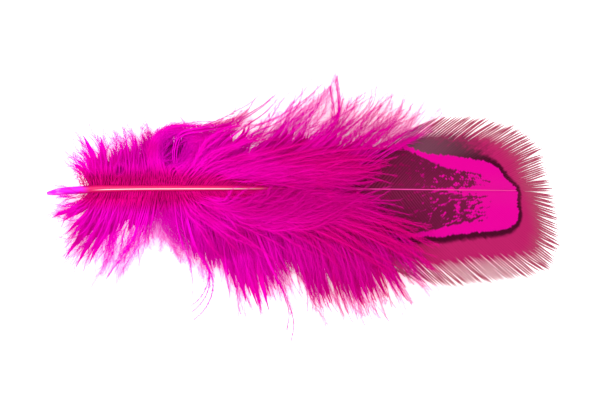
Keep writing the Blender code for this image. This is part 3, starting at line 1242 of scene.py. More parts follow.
@dataclass
class Markings:
    """Where the vane's pattern lies: outlines given by station and reach in millimetres."""

    loop_outside: Outline = (
        (50.0, 7.3), (54.2, 6.7), (56.4, 5.75), (61.2, 5.2), (64.4, 4.65), (67.5, 3.6),
        (68.9, 1.9), (70.5, 0.2), (70.7, -2.2), (70.8, -3.2), (70.4, -4.9), (68.6, -5.9),
        (66.3, -6.15), (62.6, -6.5), (59.3, -6.9), (57.0, -7.0), (50.0, -7.4),
    )
    loop_inside: Outline = (
        (46.0, 6.6), (54.4, 6.0), (56.4, 5.0), (58.7, 4.0), (61.1, 3.2), (63.6, 2.8),
        (66.0, 2.2), (66.8, 0.0), (66.4, -2.6), (66.0, -4.3), (62.6, -4.9), (59.3, -5.6),
        (57.0, -6.2), (46.0, -6.6),
    )
    band_width: Outline = (
        (-9.0, 1.0), (-7.0, 0.95), (-5.0, 0.65), (-2.0, 0.55), (4.0, 0.65), (5.2, 0.9),
        (6.3, 1.7), (7.4, 2.6), (8.6, 3.2),
    )

    @staticmethod
    def depth_inside(places: Array, outline: Outline) -> Array:
        """Measure how far places lie inside a closed outline, in millimetres.

        Args:
            places: stations and reaches, in the last axis.
            outline: the outline's corners in order.

        Returns:
            The distance to the outline, below 0 outside it.
        """
        corners = smooth_path(np.array(outline), np.linspace(0.0, 1.0, 110))
        flat = places.reshape(-1, 2)
        nearest = np.full(len(flat), np.inf)
        inside = np.zeros(len(flat), dtype=bool)
        for start, end in zip(corners, np.roll(corners, -1, axis=0)):
            edge = end - start
            offset = flat - start
            share = np.clip(offset @ edge / (edge @ edge), 0.0, 1.0)
            nearest = np.minimum(nearest, np.linalg.norm(offset - share[:, None] * edge, axis=1))
            straddles = (start[1] > flat[:, 1]) != (end[1] > flat[:, 1])
            rise = edge[1] if abs(edge[1]) > TINY else TINY
            crossing = start[0] + (flat[:, 1] - start[1]) * edge[0] / rise
            inside ^= straddles & (flat[:, 0] < crossing)
        return np.where(inside, nearest, -nearest).reshape(places.shape[:-1])


@dataclass
class Vane:
    """One side of the vane: zipped barbs with a loose fringe, as one piece.

    Each guide is a barb's root station and the station and reach of its tip. A split is a
    root station, how deep it runs from the rim, and how wide it gapes there. The fringe
    table gives how deep from the rim the barbs are loose, by the station of their tips.
    """

    name: str
    side: Side
    guides: tuple[tuple[float, float, float], ...]
    splits: tuple[tuple[float, float, float], ...]
    fringe: Outline
    markings: Markings
    gap: float = 0.34
    bow: float = 8.0
    barb_half_width: float = 0.108
    bunching: float = 0.2
    zip_share: float = 0.62
    tip_heights: Range = (2.0, 0.3)
    sunk: float = 0.06
    unzips: Range = (-2.2, 1.4)
    zipped_widths: Range = (0.06, 0.4)
    pointed: float = 1.5
    tip_width: float = 0.3
    frayed: Range = (0.03, 0.11)
    steps: int = 44
    seed: int = 5

    def _barbs(self, axis: ShaftAxis, chance: np.random.Generator) -> tuple[Array, Array]:
        """Space the barbs evenly across their own direction.

        Args:
            axis: the shaft's middle line.
            chance: the source of random numbers.

        Returns:
            The barbs' root stations, and their tips in plan.
        """
        table = np.array(self.guides).T
        at = np.arange(len(self.guides))
        fine = np.linspace(0.0, at[-1], 900)
        roots, *tips = [np.interp(fine, at, column) for column in table]
        tips = np.stack(tips, axis=1)
        for _ in range(40):
            roots[1:-1] = (roots[:-2] + roots[1:-1] + roots[2:]) / 3.0
            tips[1:-1] = (tips[:-2] + tips[1:-1] + tips[2:]) / 3.0
        way = unit(tips - axis.point(roots)[:, :2])
        step = np.gradient(tips, axis=0)
        run = np.cumsum(np.abs(step[:, 0] * way[:, 1] - step[:, 1] * way[:, 0]))
        wanted = np.arange(run[0], run[-1], self.gap)
        wanted = wanted + chance.uniform(-0.08, 0.08, len(wanted)) * self.gap
        tip = np.stack([np.interp(wanted, run, column) for column in tips.T], axis=1)
        return np.interp(wanted, run, roots), tip

    def strands(self, axis: ShaftAxis) -> Strands:
        """Lay the zipped barbs from the shaft to the rim.

        Args:
            axis: the shaft's middle line.

        Returns:
            The barbs' lines and sizes, with their place in the pattern.
        """
        chance = np.random.default_rng(self.seed)
        station, tip = self._barbs(axis, chance)
        count = len(station)
        root = axis.point(station)
        shares = np.linspace(0.0, 1.0, self.steps)
        way = tip - root[:, :2]
        tip = tip + unit(way) * chance.uniform(-0.05, 0.4, (count, 1))
        heading = np.arctan2(way[:, 1], way[:, 0])
        bow = np.radians(self.bow) * self.side.value * np.clip(np.abs(tip[:, 1]) / 5.0, 0.0, 1.0)
        plan = bezier(root[:, :2], tip, heading + bow, heading - bow, shares)
        run = travelled(plan)
        to_rim = run[:, -1:] - run
        plan = plan + self._parting(station, plan, to_rim, chance)
        rim_height = blend(*self.tip_heights, np.linspace(0.0, 1.0, count) ** 0.5)
        height = blend(root[:, 2:], rim_height[:, None], shares[None] ** 1.4) - self.sunk
        flow = unit(np.gradient(plan, axis=1))
        beside = np.gradient(plan, axis=0)
        gap = np.abs(beside[..., 0] * flow[..., 1] - beside[..., 1] * flow[..., 0])
        loose_from = np.interp(tip[:, 0], *np.array(self.fringe).T)[:, None]
        loose_from = loose_from + chance.uniform(-0.35, 0.35, (count, 1))
        zipped = ease(to_rim, loose_from + self.unzips[0], loose_from + self.unzips[1])
        filled = np.clip(self.zip_share * gap, *self.zipped_widths)
        width = blend(self.barb_half_width, filled, zipped)
        width = width * blend(self.tip_width, 1.0, ease(to_rim, 0.0, self.pointed))
        marks = self.markings
        outer = marks.depth_inside(plan, marks.loop_outside)
        inner = marks.depth_inside(plan, marks.loop_inside)
        band = outer / np.interp(plan[..., 1], *np.array(marks.band_width).T)
        jitter = chance.uniform(-0.1, 0.1, (count, 1))
        shifted = plan + jitter[..., None] * np.array([1.0, 0.3])
        return Strands(
            raised(plan, height), width, np.zeros_like(width),
            chance.uniform(0.0, 1.0, (count, 1)) * np.ones(self.steps),
            {
                "outer": outer + jitter, "inner": inner + jitter, "band": band + jitter,
                "to_rim": to_rim, "place": raised(shifted, np.zeros_like(width)),
            },
        )

    def _parting(
        self, stations: Array, plan: Array, to_rim: Array, chance: np.random.Generator
    ) -> Array:
        """Part the barbs where the vane has come unzipped.

        Args:
            stations: the barbs' root stations.
            plan: the barbs in plan.
            to_rim: how far each point is from the rim.
            chance: the source of random numbers.

        Returns:
            How far each point moves.
        """
        shift = np.zeros(plan.shape[:2])
        for root, depth, width in self.splits:
            apart = stations - root
            hold = np.where(apart > 0, -1.0, 1.0) * np.exp(-np.abs(apart))
            shift += 0.5 * width * hold[:, None] * ease(depth - to_rim, 0.0, depth)
        loose = 1.0 - ease(to_rim, 0.0, 4.0)
        frayed = np.interp(stations, (58.0, 68.0), self.frayed)[:, None]
        shift += chance.normal(0.0, 1.0, (len(stations), 1)) * loose * frayed
        index = np.arange(len(stations))
        bunch = np.repeat(index, chance.integers(2, 5, len(stations)))[:len(stations)]
        middle = np.bincount(bunch, weights=index) / np.maximum(np.bincount(bunch), 1)
        shift -= (middle[bunch] - index)[:, None] * self.gap * self.bunching * loose
        return sideways(plan) * self.side.value * shift[..., None]

    def build(self, axis: ShaftAxis, material: Material) -> bpy.types.Object:
        """Grow this side of the vane as one piece of the given material."""
        return BarbTree(seed=self.seed).grow(self.strands(axis), axis, self.name, material)


@dataclass
class Shaft:
    """The quill and shaft: a closed tube with a blunt point, marked for a painted highlight."""

    name: str
    sides: int = 24
    rings: int = 160
    overhang: float = 0.2
    highlight_degrees: float = 104.0
    point_depth: float = 0.02
    off_highlight: float = 9.0

    def build(self, axis: ShaftAxis, material: Material) -> bpy.types.Object:
        """Loft the tube along the axis.

        Args:
            axis: the shaft's middle line.
            material: what it is finished with.

        Returns:
            The finished piece.
        """
        share = np.linspace(0.0, 1.0, self.rings) ** 1.5
        stations = share * (axis.length + self.overhang) - self.overhang
        middles = (axis.point(stations) + axis.origin)[:, None]
        radii = axis.radius(stations)[:, None]
        turns = np.linspace(0.0, FULL_TURN, self.sides, endpoint=False)
        round_it = np.stack([np.zeros(self.sides), np.cos(turns), np.sin(turns)], axis=-1)
        places = middles + round_it * radii[..., None]
        blunt = places[0].mean(axis=0) - np.array([self.point_depth, 0.0, 0.0])
        places = np.concatenate([places.reshape(-1, 3), blunt[None], middles[-1]])
        ring = np.arange(self.rings * self.sides).reshape(self.rings, self.sides)
        after = np.roll(ring, -1, axis=1)
        quads = np.stack([ring[:-1], after[:-1], after[1:], ring[1:]], axis=-1)
        caps = [np.full(self.sides, ring.size + end) for end in (0, 1)]
        first = np.stack([caps[0], after[0], ring[0]], axis=-1)
        last = np.stack([caps[1], ring[-1], after[-1]], axis=-1)
        mesh = bpy.data.meshes.new(self.name)
        faces = [*quads.reshape(-1, 4).tolist(), *first.tolist(), *last.tolist()]
        mesh.from_pydata((places * MM).tolist(), [], faces)
        mesh.update()
        # Each point's distance from the line of the painted highlight along the back.
        apart = np.abs(turns - math.radians(self.highlight_degrees))
        apart = np.minimum(apart, FULL_TURN - apart) * radii
        station = np.concatenate([np.repeat(stations, self.sides), stations[[0, -1]]])
        ridge = np.concatenate([apart.ravel(), [self.off_highlight] * 2])
        mark(mesh, station=station, ridge=ridge)
        mesh.shade_smooth()
        mesh.materials.append(material)
        return put(self.name, mesh)


@dataclass
class Studio:
    """A white table under soft, even light, and a camera straight above the feather."""

    height: float = 0.6
    feather_top: float = 3.0 * MM
    table_size: float = 3.0
    dome_strength: float = 1.3
    panel_power: float = 2.2
    panel_size: float = 0.5
    panel_place: tuple[float, float, float] = (-0.25, 0.35, 0.6)
    sensor: float = 36.0

    def build(self, axis: ShaftAxis) -> None:
        """Set the table, the lights, the camera and the picture's colours.

        Args:
            axis: the shaft's middle line.
        """
        self._table()
        self._light()
        self._camera(axis)
        view = bpy.context.scene.view_settings
        view.view_transform = "Standard"
        view.look = "None"
        view.exposure = 0.0
        view.gamma = 1.0

    def _table(self) -> None:
        """Lay the table top under the feather."""
        half = self.table_size / 2.0
        mesh = bpy.data.meshes.new("table_top")
        corners = [(-half, -half, 0.0), (half, -half, 0.0), (half, half, 0.0), (-half, half, 0.0)]
        mesh.from_pydata(corners, [], [(0, 1, 2, 3)])
        mesh.materials.append(TableTop("table_top").material())
        put("table_top", mesh)

    def _light(self) -> None:
        """Light the scene with a white dome and one large panel above."""
        world = bpy.data.worlds.new("studio")
        world.use_nodes = True
        background = world.node_tree.nodes["Background"]
        background.inputs["Color"].default_value = (1.0, 1.0, 1.0, 1.0)
        background.inputs["Strength"].default_value = self.dome_strength
        bpy.context.scene.world = world
        panel = bpy.data.lights.new("panel", "AREA")
        panel.shape = "DISK"
        panel.size = self.panel_size
        panel.energy = self.panel_power
        lamp = put("panel", panel)
        lamp.location = self.panel_place
        lamp.rotation_euler = (-lamp.location).to_track_quat("-Z", "Y").to_euler()

    def _camera(self, axis: ShaftAxis) -> None:
        """Hang the camera so that a pixel is as wide as in the photograph.

        Args:
            axis: the shaft's middle line.
        """
        lens = bpy.data.cameras.new("camera")
        width = IMAGE_WIDTH * MM_PER_PIXEL * MM
        lens.sensor_width = self.sensor
        lens.lens = self.sensor * (self.height - self.feather_top) / width
        lens.clip_start = 0.01
        lens.clip_end = 10.0
        camera = put("camera", lens)
        right = (IMAGE_MIDDLE[0] - QUILL_PIXEL[0]) * MM_PER_PIXEL
        up = (QUILL_PIXEL[1] - IMAGE_MIDDLE[1]) * MM_PER_PIXEL
        x, y = (axis.origin[:2] + np.array([right, up])) * MM
        camera.location = (x, y, self.height)
        bpy.context.scene.camera = camera


# Guides and outlines, laid after the photograph, in millimetres.
UPPER_LOCKS = (
    (5.6, 4.2, 3.5, 0.8, 0.6), (6.6, 2.6, 6.1, 0.8, 0.8), (7.6, 5.1, 9.7, 0.95, 1.6),
    (8.8, 7.4, 8.9, 0.92, 1.8), (10.0, 9.7, 8.6, 0.84, 2.0), (11.2, 11.5, 9.3, 0.88, 2.0),
    (12.4, 12.7, 10.6, 0.84, 2.0), (14.2, 14.7, 9.4, 0.98, 2.0), (15.8, 16.4, 9.7, 1.0, 2.0),
    (16.6, 18.2, 10.1, 1.0, 2.0), (17.4, 20.2, 10.2, 1.0, 2.0), (19.0, 24.0, 9.6, 1.0, 2.0),
    (20.6, 28.0, 10.4, 0.98, 2.0), (22.0, 31.6, 11.0, 0.9, 2.0), (23.6, 34.6, 11.4, 0.64, 2.0),
    (25.2, 37.0, 12.2, 0.6, 1.9), (26.9, 41.0, 16.7, 0.58, 1.8), (28.7, 43.0, 17.0, 0.64, 1.7),
    (30.5, 44.8, 14.4, 0.66, 1.6), (32.3, 46.4, 13.6, 0.7, 1.5), (34.0, 49.7, 15.6, 0.64, 1.4),
    (35.9, 50.7, 13.2, 0.68, 1.3), (37.7, 52.7, 12.8, 0.68, 1.2), (39.5, 55.0, 13.4, 0.62, 1.0),
    (41.3, 55.4, 12.2, 0.6, 1.0), (42.2, 56.4, 12.2, 0.46, 1.0), (43.0, 57.6, 12.0, 0.34, 1.0),
    (43.8, 58.6, 11.6, 0.26, 1.0),
)
LOWER_LOCKS = (
    (5.5, 0.8, 1.4, 0.8, 0.3), (5.9, 0.6, 2.6, 0.9, 0.3), (6.3, 0.1, 3.8, 0.95, 0.4),
    (6.8, -0.2, 4.7, 0.95, 0.4), (7.4, 0.5, 6.0, 0.88, 0.4), (8.1, 1.3, 8.9, 0.84, 0.5),
    (8.9, 2.0, 11.4, 0.94, 0.5), (9.8, 3.8, 12.5, 1.0, 0.5), (10.7, 5.7, 12.2, 0.98, 0.5),
    (11.7, 7.6, 12.2, 0.78, 0.6), (12.8, 7.9, 14.0, 0.48, 0.6), (14.0, 9.8, 13.4, 0.54, 0.7),
    (15.2, 11.6, 11.9, 0.56, 0.8), (16.2, 14.1, 8.6, 0.7, 1.0), (17.3, 16.8, 5.0, 0.8, 1.4),
    (18.5, 20.8, 8.2, 0.84, 2.0), (19.7, 22.4, 11.2, 0.95, 2.1), (20.9, 23.9, 13.4, 0.9, 2.1),
    (22.0, 25.4, 14.6, 0.88, 2.1), (23.0, 27.2, 14.4, 0.9, 2.1), (24.2, 29.0, 16.4, 0.98, 2.1),
    (25.4, 30.2, 17.8, 1.0, 2.1), (26.6, 32.2, 19.4, 1.0, 2.0), (27.8, 34.2, 18.6, 1.0, 2.0),
    (29.0, 35.4, 16.6, 0.96, 1.8), (30.5, 36.6, 15.2, 0.96, 1.6), (32.3, 38.4, 14.4, 0.88, 1.4),
    (34.0, 41.0, 18.4, 0.94, 1.2), (35.9, 42.9, 19.8, 0.92, 1.0), (37.7, 45.8, 19.2, 0.94, 1.0),
    (39.5, 48.2, 19.3, 0.96, 1.0), (41.3, 50.6, 19.0, 0.96, 1.0), (42.4, 53.0, 18.2, 0.96, 1.0),
    (43.4, 55.0, 17.0, 0.96, 1.0), (44.3, 56.8, 15.4, 0.92, 1.0), (45.1, 58.0, 15.0, 0.8, 1.0),
    (45.9, 59.6, 13.9, 0.74, 1.0),
)
RIDGE = (
    (15.2, 2.0, (15.3, 4.4), (15.9, 7.4), (17.6, 9.0), (20.6, 9.8), (24.6, 10.3)),
    (16.6, 2.0, (16.5, 4.6), (17.3, 7.8), (19.8, 9.5), (24.4, 10.3), (28.6, 11.8), (31.2, 13.1),
     (32.4, 14.6)),
    (18.2, 2.0, (18.2, 4.4), (19.2, 7.5), (22.6, 9.3), (26.8, 10.7), (30.8, 12.6)),
    (20.0, 2.0, (20.3, 3.8), (22.0, 6.4), (25.4, 8.4), (28.6, 9.4)),
)
UPPER_SWEPT = (
    (19.6, 2.1, (20.6, 3.6), (22.6, 6.6), (26.0, 9.2), (30.5, 11.0)),
    (21.2, 2.1, (22.8, 3.3), (25.8, 6.2), (31.5, 8.8), (38.0, 10.0)),
    (22.8, 2.1, (24.6, 2.9), (29.5, 5.4), (36.5, 7.3), (44.0, 8.4)),
    (24.8, 2.0, (27.0, 2.6), (32.5, 4.6), (40.0, 6.1), (48.0, 7.1)),
    (27.2, 2.0, (29.6, 2.4), (35.5, 4.0), (43.0, 5.1), (51.6, 6.0)),
    (30.0, 1.9, (32.5, 2.1), (38.5, 3.3), (45.0, 4.0), (52.2, 4.9)),
    (33.2, 1.8, (35.6, 1.8), (41.0, 2.6), (46.5, 3.0), (51.8, 3.6)),
    (36.6, 1.6, (39.0, 1.5), (43.8, 2.0), (50.6, 2.6)),
    (39.5, 1.2, (42.0, 1.0), (45.6, 1.3), (49.8, 1.6)),
)
LOWER_SWEPT = (
    (19.5, 2.1, (21.0, 3.4), (23.6, 6.6), (27.6, 10.4)),
    (21.0, 2.1, (22.8, 3.0), (26.6, 5.8), (31.4, 9.0), (36.0, 12.4)),
    (22.5, 2.1, (24.6, 2.7), (29.4, 5.0), (35.4, 7.8), (41.0, 11.8)),
    (24.5, 2.0, (27.0, 2.4), (32.4, 4.2), (39.4, 7.2), (46.6, 12.0)),
    (27.0, 1.9, (30.0, 2.2), (36.0, 3.7), (43.6, 6.6), (52.0, 11.6)),
    (30.0, 1.7, (33.0, 1.9), (39.0, 3.1), (47.4, 5.8), (57.8, 10.6)),
    (33.5, 1.5, (36.5, 1.5), (42.4, 2.4), (49.6, 4.4), (58.2, 7.6)),
    (37.0, 1.3, (40.0, 1.1), (46.0, 1.8), (55.4, 4.7)),
    (40.0, 1.2, (42.6, 0.8), (46.4, 1.1), (52.2, 2.2)),
)
CROSSING = (
    (21.5, 1.6, (24.0, 2.3), (28.5, 3.9), (33.0, 3.3), (37.5, 0.9), (40.5, -0.6)),
    (23.5, 1.6, (26.0, 2.8), (30.5, 5.0), (34.5, 4.4), (39.0, 1.6), (42.6, -0.9)),
    (26.0, 1.6, (28.6, 3.0), (33.0, 5.8), (37.4, 5.0), (42.0, 1.8), (45.6, -0.6)),
    (29.0, 1.6, (31.6, 2.8), (36.0, 5.8), (41.0, 4.8), (45.6, 2.0), (48.6, 0.6)),
    (32.5, 1.6, (35.2, 2.4), (39.6, 4.8), (44.4, 4.0), (48.4, 2.4), (51.4, 1.8)),
)
AFTERFEATHER = (
    (15.0, 14.8, 8.0, 0.9, 1.0), (15.8, 16.6, 8.8, 0.9, 1.0), (16.6, 18.8, 10.0, 0.9, 1.0),
    (17.4, 20.8, 11.3, 0.9, 1.0), (18.2, 22.8, 12.2, 0.9, 1.0),
)
WISPS = (
    Wisp(20.8, ((19.0, 5.8), (19.8, 8.6), (23.6, 9.7), (27.6, 10.4), (31.4, 12.4), (33.4, 13.8),
                (34.6, 14.9)), barbs=4, spread=0.35, width=0.08, hair=0.7),
    Wisp(6.2, ((6.6, 2.2), (4.9, 4.2), (2.3, 6.2)), width=0.07),
    Wisp(6.0, ((6.2, 1.6), (5.0, 2.6), (4.1, 3.7)), width=0.07),
    Wisp(8.4, ((8.4, 4.2), (7.6, 7.0), (5.8, 9.0)), barbs=2, spread=0.3, width=0.08),
    Wisp(10.6, ((10.8, 4.4), (10.3, 7.0), (9.6, 8.8)), width=0.07),
    Wisp(12.2, ((12.0, 5.0), (11.7, 7.4), (11.4, 9.4)), barbs=2, spread=0.2, width=0.08),
    Wisp(13.2, ((12.9, 5.4), (12.8, 8.4), (12.4, 10.8)), width=0.07),
    Wisp(15.0, ((14.4, 5.0), (14.0, 7.6), (14.7, 9.6)), barbs=2, spread=0.2, width=0.08),
    Wisp(17.0, ((16.0, 6.0), (16.3, 8.8), (18.0, 11.8)), width=0.045, hair=0.3),
    Wisp(6.4, ((5.0, -2.4), (3.2, -2.7), (1.2, -2.4), (-1.0, -2.0)), width=0.08, hair=0.4),
    Wisp(7.0, ((5.2, -4.2), (3.6, -4.7), (2.0, -4.3), (0.6, -3.8)), width=0.08, hair=0.7),
    Wisp(8.2, ((5.0, -6.6), (3.0, -7.4), (1.4, -6.9), (0.5, -5.6)), width=0.06, hair=0.4),
    Wisp(9.2, ((6.4, -7.6), (4.4, -9.6), (2.2, -9.9)), width=0.07, hair=0.6),
    Wisp(10.4, ((8.0, -7.2), (6.4, -9.6), (4.1, -11.3)), barbs=2, spread=0.3, width=0.07),
    Wisp(12.0, ((8.6, -6.6), (8.1, -9.0), (8.4, -10.6), (8.2, -11.8)), width=0.06, hair=0.5),
    Wisp(15.6, ((13.5, -6.8), (11.8, -9.6), (10.4, -11.6), (9.0, -13.2), (8.0, -15.0)),
         barbs=3, spread=0.35, width=0.09, hair=0.6),
    Wisp(15.0, ((12.6, -8.0), (11.4, -10.4), (9.8, -11.9), (7.4, -12.4)), width=0.08, hair=0.5),
    Wisp(16.0, ((13.8, -8.0), (12.3, -10.4), (11.1, -12.2), (10.8, -13.7)), width=0.07),
    Wisp(16.6, ((15.4, -6.4), (15.0, -8.0), (14.8, -9.6)), width=0.09, hair=0.8),
    Wisp(19.8, ((20.6, -6.6), (21.4, -9.8), (22.4, -13.0)), width=0.08, hair=0.7),
    Wisp(18.8, ((20.2, -8.0), (21.6, -11.6), (22.0, -14.6), (21.9, -17.0)), width=0.075, hair=0.8),
    Wisp(20.2, ((22.4, -9.0), (24.8, -13.6), (24.4, -16.4), (23.0, -18.6), (21.9, -19.6)),
         barbs=3, spread=0.12, width=0.1, hair=1.2),
    Wisp(22.2, ((25.4, -8.8), (26.8, -12.2), (27.9, -14.6)), width=0.08, hair=0.6),
    Wisp(24.6, ((27.8, -9.8), (29.0, -14.0), (29.6, -16.5)), width=0.08, hair=0.6),
    Wisp(25.8, ((29.4, -10.6), (31.3, -16.2), (33.2, -19.2)), width=0.07, hair=0.6),
    Wisp(29.0, ((33.6, -11.6), (36.4, -17.6), (37.0, -20.4), (36.6, -22.8)), barbs=2,
         spread=0.1, width=0.1, hair=1.2),
    Wisp(30.6, ((35.4, -10.8), (37.9, -15.6), (39.2, -17.5)), width=0.07, hair=0.6),
    Wisp(24.6, ((27.4, 6.4), (31.4, 9.8), (34.8, 11.2), (38.6, 13.6), (42.2, 16.8)), barbs=2,
         spread=0.15, width=0.08, hair=1.0),
    Wisp(23.4, ((26.0, 6.8), (30.2, 10.2), (33.7, 12.8), (35.4, 14.9)), barbs=2, spread=0.2,
         width=0.08, hair=0.6),
    Wisp(31.0, ((36.0, 4.6), (41.0, 8.0), (43.7, 10.6), (44.0, 14.2), (43.6, 17.2)), barbs=5,
         spread=0.5, width=0.09, hair=1.2),
    Wisp(32.4, ((37.6, 4.6), (42.4, 8.4), (44.3, 11.6), (45.2, 14.6)), barbs=3, spread=0.4,
         width=0.08, hair=1.0),
    Wisp(34.0, ((39.6, 4.8), (45.0, 9.4), (48.2, 12.2), (49.2, 13.6), (49.7, 16.0)), barbs=2,
         spread=0.3, width=0.06, hair=0.9),
    Wisp(36.6, ((42.0, 4.8), (47.0, 9.2), (50.6, 12.4), (51.7, 14.2)), width=0.06, hair=1.2),
    Wisp(40.0, ((45.4, 4.4), (50.6, 9.4), (53.0, 10.8), (54.7, 12.0), (55.8, 13.8)), width=0.06,
         hair=1.2),
)
UPPER_BARBS = (
    (40.5, 49.6, 6.8), (43.5, 53.6, 8.8), (46.9, 58.8, 11.0), (51.8, 63.6, 11.2),
    (54.1, 66.3, 10.7), (57.2, 69.75, 9.8), (59.1, 71.25, 9.15), (61.5, 73.05, 7.8),
    (63.7, 74.25, 6.1), (65.1, 74.6, 4.6), (66.9, 75.0, 2.8), (69.1, 75.75, 1.3),
    (70.4, 76.1, -0.15),
)
LOWER_BARBS = (
    (40.5, 52.0, -12.0), (43.0, 55.0, -13.4), (46.2, 58.95, -14.2), (48.5, 62.1, -14.5),
    (51.3, 64.8, -14.0), (53.6, 67.0, -13.8), (57.4, 70.6, -13.2), (59.8, 73.2, -12.8),
    (62.6, 75.9, -11.6), (65.6, 76.9, -8.4), (67.1, 76.9, -5.8), (68.3, 76.65, -3.2),
    (69.4, 76.2, -1.7), (70.4, 76.1, -0.35),
)
UPPER_SPLITS = ((54.6, 5.6, 0.5), (59.3, 3.2, 0.3), (67.8, 3.2, 0.5))
LOWER_SPLITS = ((48.6, 6.0, 0.4), (60.5, 3.4, 0.4), (64.5, 3.4, 0.5))
UPPER_FRINGE = ((50.0, 5.8), (60.0, 5.9), (66.0, 5.4), (71.0, 4.6), (74.2, 4.2), (76.2, 4.2))
LOWER_FRINGE = ((50.0, 5.4), (63.0, 5.8), (70.0, 6.0), (74.8, 5.2), (76.2, 4.2), (76.9, 3.8))
HOLLOWS = (Hollow(18.9, 6.1, 1.8), Hollow(10.9, 3.1, 0.5))

# The under web doesn't part around hollows; shade is painted on it there instead.
UNDER_WEB = Growth(
    spacing=0.24, web=0.32, mat=0.42, end=0.06, taper=(0.7, 1.0), length=(0.84, 0.98),
    valley=0.1, clump=0.1, stray=0.2, wave=0.1, hair=0.0, rise=0.3, roll=3.0, flame=3.0,
    quill_width=0.7, parting=0.0,
)
MATTED = Growth(
    spacing=0.16, web=0.045, mat=0.058, end=0.02, taper=(0.55, 1.0), length=(0.66, 1.1),
    valley=0.2, clump=0.32, roll=4.0, hair=1.3, hair_spacing=0.18, hair_radius=0.03,
    sweep=(14.0, 46.0), wave=0.45, stray=0.75, height_spread=0.22, comb=0.34, flame=3.0,
)
LOOSE = Growth(
    spacing=0.3, section=Section.ROUND, web=0.035, mat=0.045, end=0.02, dense=False,
    length=(0.84, 1.12), valley=0.12, clump=0.3, stray=1.3, wave=0.45, hair=1.6, hair_tip=0.3,
    hair_from=(0.35, 0.55), hair_spacing=0.28, hair_radius=0.024, sweep=(12.0, 46.0),
    lift=0.3, tip_height=0.4, height_spread=0.8, rise=1.2, flame=3.2,
)
HAZE = Growth(
    spacing=0.6, section=Section.ROUND, web=0.02, mat=0.025, end=0.015, dense=False,
    length=(0.84, 1.12), valley=0.1, clump=0.3, stray=1.2, wave=0.6, hair=2.2, hair_tip=0.6,
    hair_from=(0.4, 0.6), hair_spacing=0.17, hair_radius=0.011, sweep=(15.0, 55.0), lift=0.3,
    tip_height=0.4, height_spread=0.8, rise=0.9,
)
SWEPT = Growth(
    spacing=0.14, web=0.035, mat=0.05, end=0.015, length=(0.34, 1.1), valley=0.1, clump=0.12,
    stray=1.1, wave=0.6, hair=1.4, hair_spacing=0.24, hair_radius=0.034, sweep=(12.0, 42.0),
    tip_height=2.8, height_spread=0.25, rise=1.2, roll=4.0, comb=0.34,
)
STRAY = Growth(
    spacing=1.0, section=Section.ROUND, hair_spacing=0.2, hair_radius=0.06, sweep=(16.0, 48.0),
    lift=0.2, tip_height=0.5, height_spread=0.5, rise=1.4,
)
CURL = 24.0


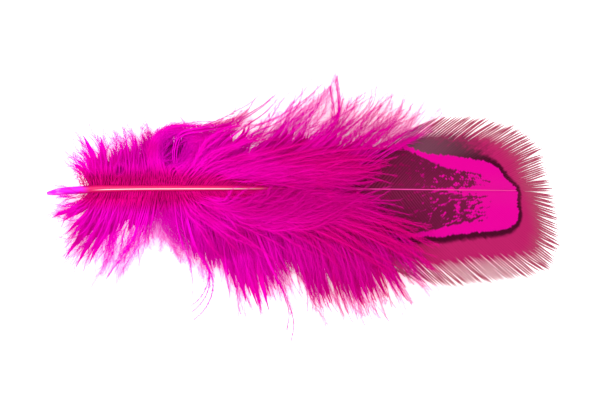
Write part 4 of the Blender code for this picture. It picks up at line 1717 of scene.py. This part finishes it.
def main() -> None:
    """Build the feather's pieces in order, ride them on the solid, and set the studio."""
    axis = ShaftAxis()
    axis.settle(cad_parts["feather"])
    under = DownDyeAndShade(
        "dyed_down_under", body=(0.98, 0.0006, 0.64, 1.0), shade=(0.84, 0.0004, 0.42, 1.0),
        root=(0.4, 0.0004, 0.09, 1.0), root_to_body=(1.2, 3.4), streak=1.0,
    ).material()
    down = DownDyeAndShade("dyed_down").material()
    loose = DownDyeAndShade(
        "dyed_down_loose", body=(0.96, 0.001, 0.7, 1.0), shade=(0.7, 0.0006, 0.4, 1.0),
        tail=(0.76, 0.0008, 0.34, 1.0),
    ).material()
    vane = VaneDyeAndShading("dyed_vane").material()
    horn = QuillHornAndHighlight("quill_horn").material()
    markings = Markings()
    upper, lower = Side.UPPER, Side.LOWER
    upper_vane = Vane("upper_vane", upper, UPPER_BARBS, UPPER_SPLITS, UPPER_FRINGE, markings)
    lower_vane = Vane(
        "lower_vane", lower, LOWER_BARBS, LOWER_SPLITS, LOWER_FRINGE, markings, seed=6
    )
    pieces = [
        (Shaft("quill_and_shaft").build(axis, horn), "quill"),
        (upper_vane.build(axis, vane), "dyed_vane"),
        (lower_vane.build(axis, vane), "dyed_vane"),
    ]
    ridge_web = replace(UNDER_WEB, spacing=0.16, taper=(0.9, 1.0), length=(0.56, 0.66))
    crossing = replace(SWEPT, spacing=0.15, tip_height=3.8)
    ridge = replace(SWEPT, spacing=0.09, tip_height=0.7, rise=1.2, length=(0.74, 1.05), stray=0.5)
    upper_loose = replace(LOOSE, spacing=0.44)
    net = replace(LOOSE, spacing=0.6, stray=1.8)
    lower_loose = replace(LOOSE, spacing=0.17)
    tuft = replace(HAZE, spacing=0.11, hair_from=(0.1, 0.3))
    tracts = (
        (LockTract("upper_under_down", upper, UNDER_WEB, UPPER_LOCKS[1:], HOLLOWS, 21, CURL, 16),
         under),
        (LockTract("lower_under_down", lower, UNDER_WEB, LOWER_LOCKS[3:], (), 22, steps=16),
         under),
        (SweptTract("ridge_under_down", upper, ridge_web, RIDGE, HOLLOWS, 23, steps=20), under),
        (LockTract("upper_down", upper, MATTED, UPPER_LOCKS, HOLLOWS, 11, CURL), down),
        (LockTract("lower_down", lower, MATTED, LOWER_LOCKS[2:], (), 12), down),
        (SweptTract("upper_swept_down", upper, SWEPT, UPPER_SWEPT, HOLLOWS, 13), down),
        (SweptTract("lower_swept_down", lower, SWEPT, LOWER_SWEPT, (), 14), down),
        (SweptTract("crossing_down", lower, crossing, CROSSING, (), 15), down),
        (SweptTract("ridge_down", upper, ridge, RIDGE, HOLLOWS, 16), down),
        (LockTract("upper_loose_down", upper, upper_loose, UPPER_LOCKS, HOLLOWS, 31, CURL + 12.0),
         loose),
        (LockTract("upper_net_down", upper, net, UPPER_LOCKS, HOLLOWS, 36, -10.0), loose),
        (LockTract("lower_loose_down", lower, lower_loose, LOWER_LOCKS, (), 32), loose),
        (LockTract("upper_haze", upper, HAZE, UPPER_LOCKS, HOLLOWS, 33, CURL), loose),
        (LockTract("lower_haze", lower, HAZE, LOWER_LOCKS, (), 34), loose),
        (LockTract("afterfeather", lower, tuft, AFTERFEATHER, (), 35), loose),
        (Wisps("wisps", WISPS, STRAY), loose),
    )
    pieces += [(tract.build(axis, material), "dyed_down") for tract, material in tracts]
    total = 0
    for piece, slot in pieces:
        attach(piece, "root")
        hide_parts("feather")
        piece.data.calc_loop_triangles()
        triangles = len(piece.data.loop_triangles)
        total += triangles
        log.info("%s: %d triangles, slot %s", piece.name, triangles, slot)
    log.info("all pieces: %d triangles", total)
    Studio().build(axis)


if __name__ == "__main__":
    logging.basicConfig(level=logging.INFO, format="%(name)s: %(message)s")
    main()
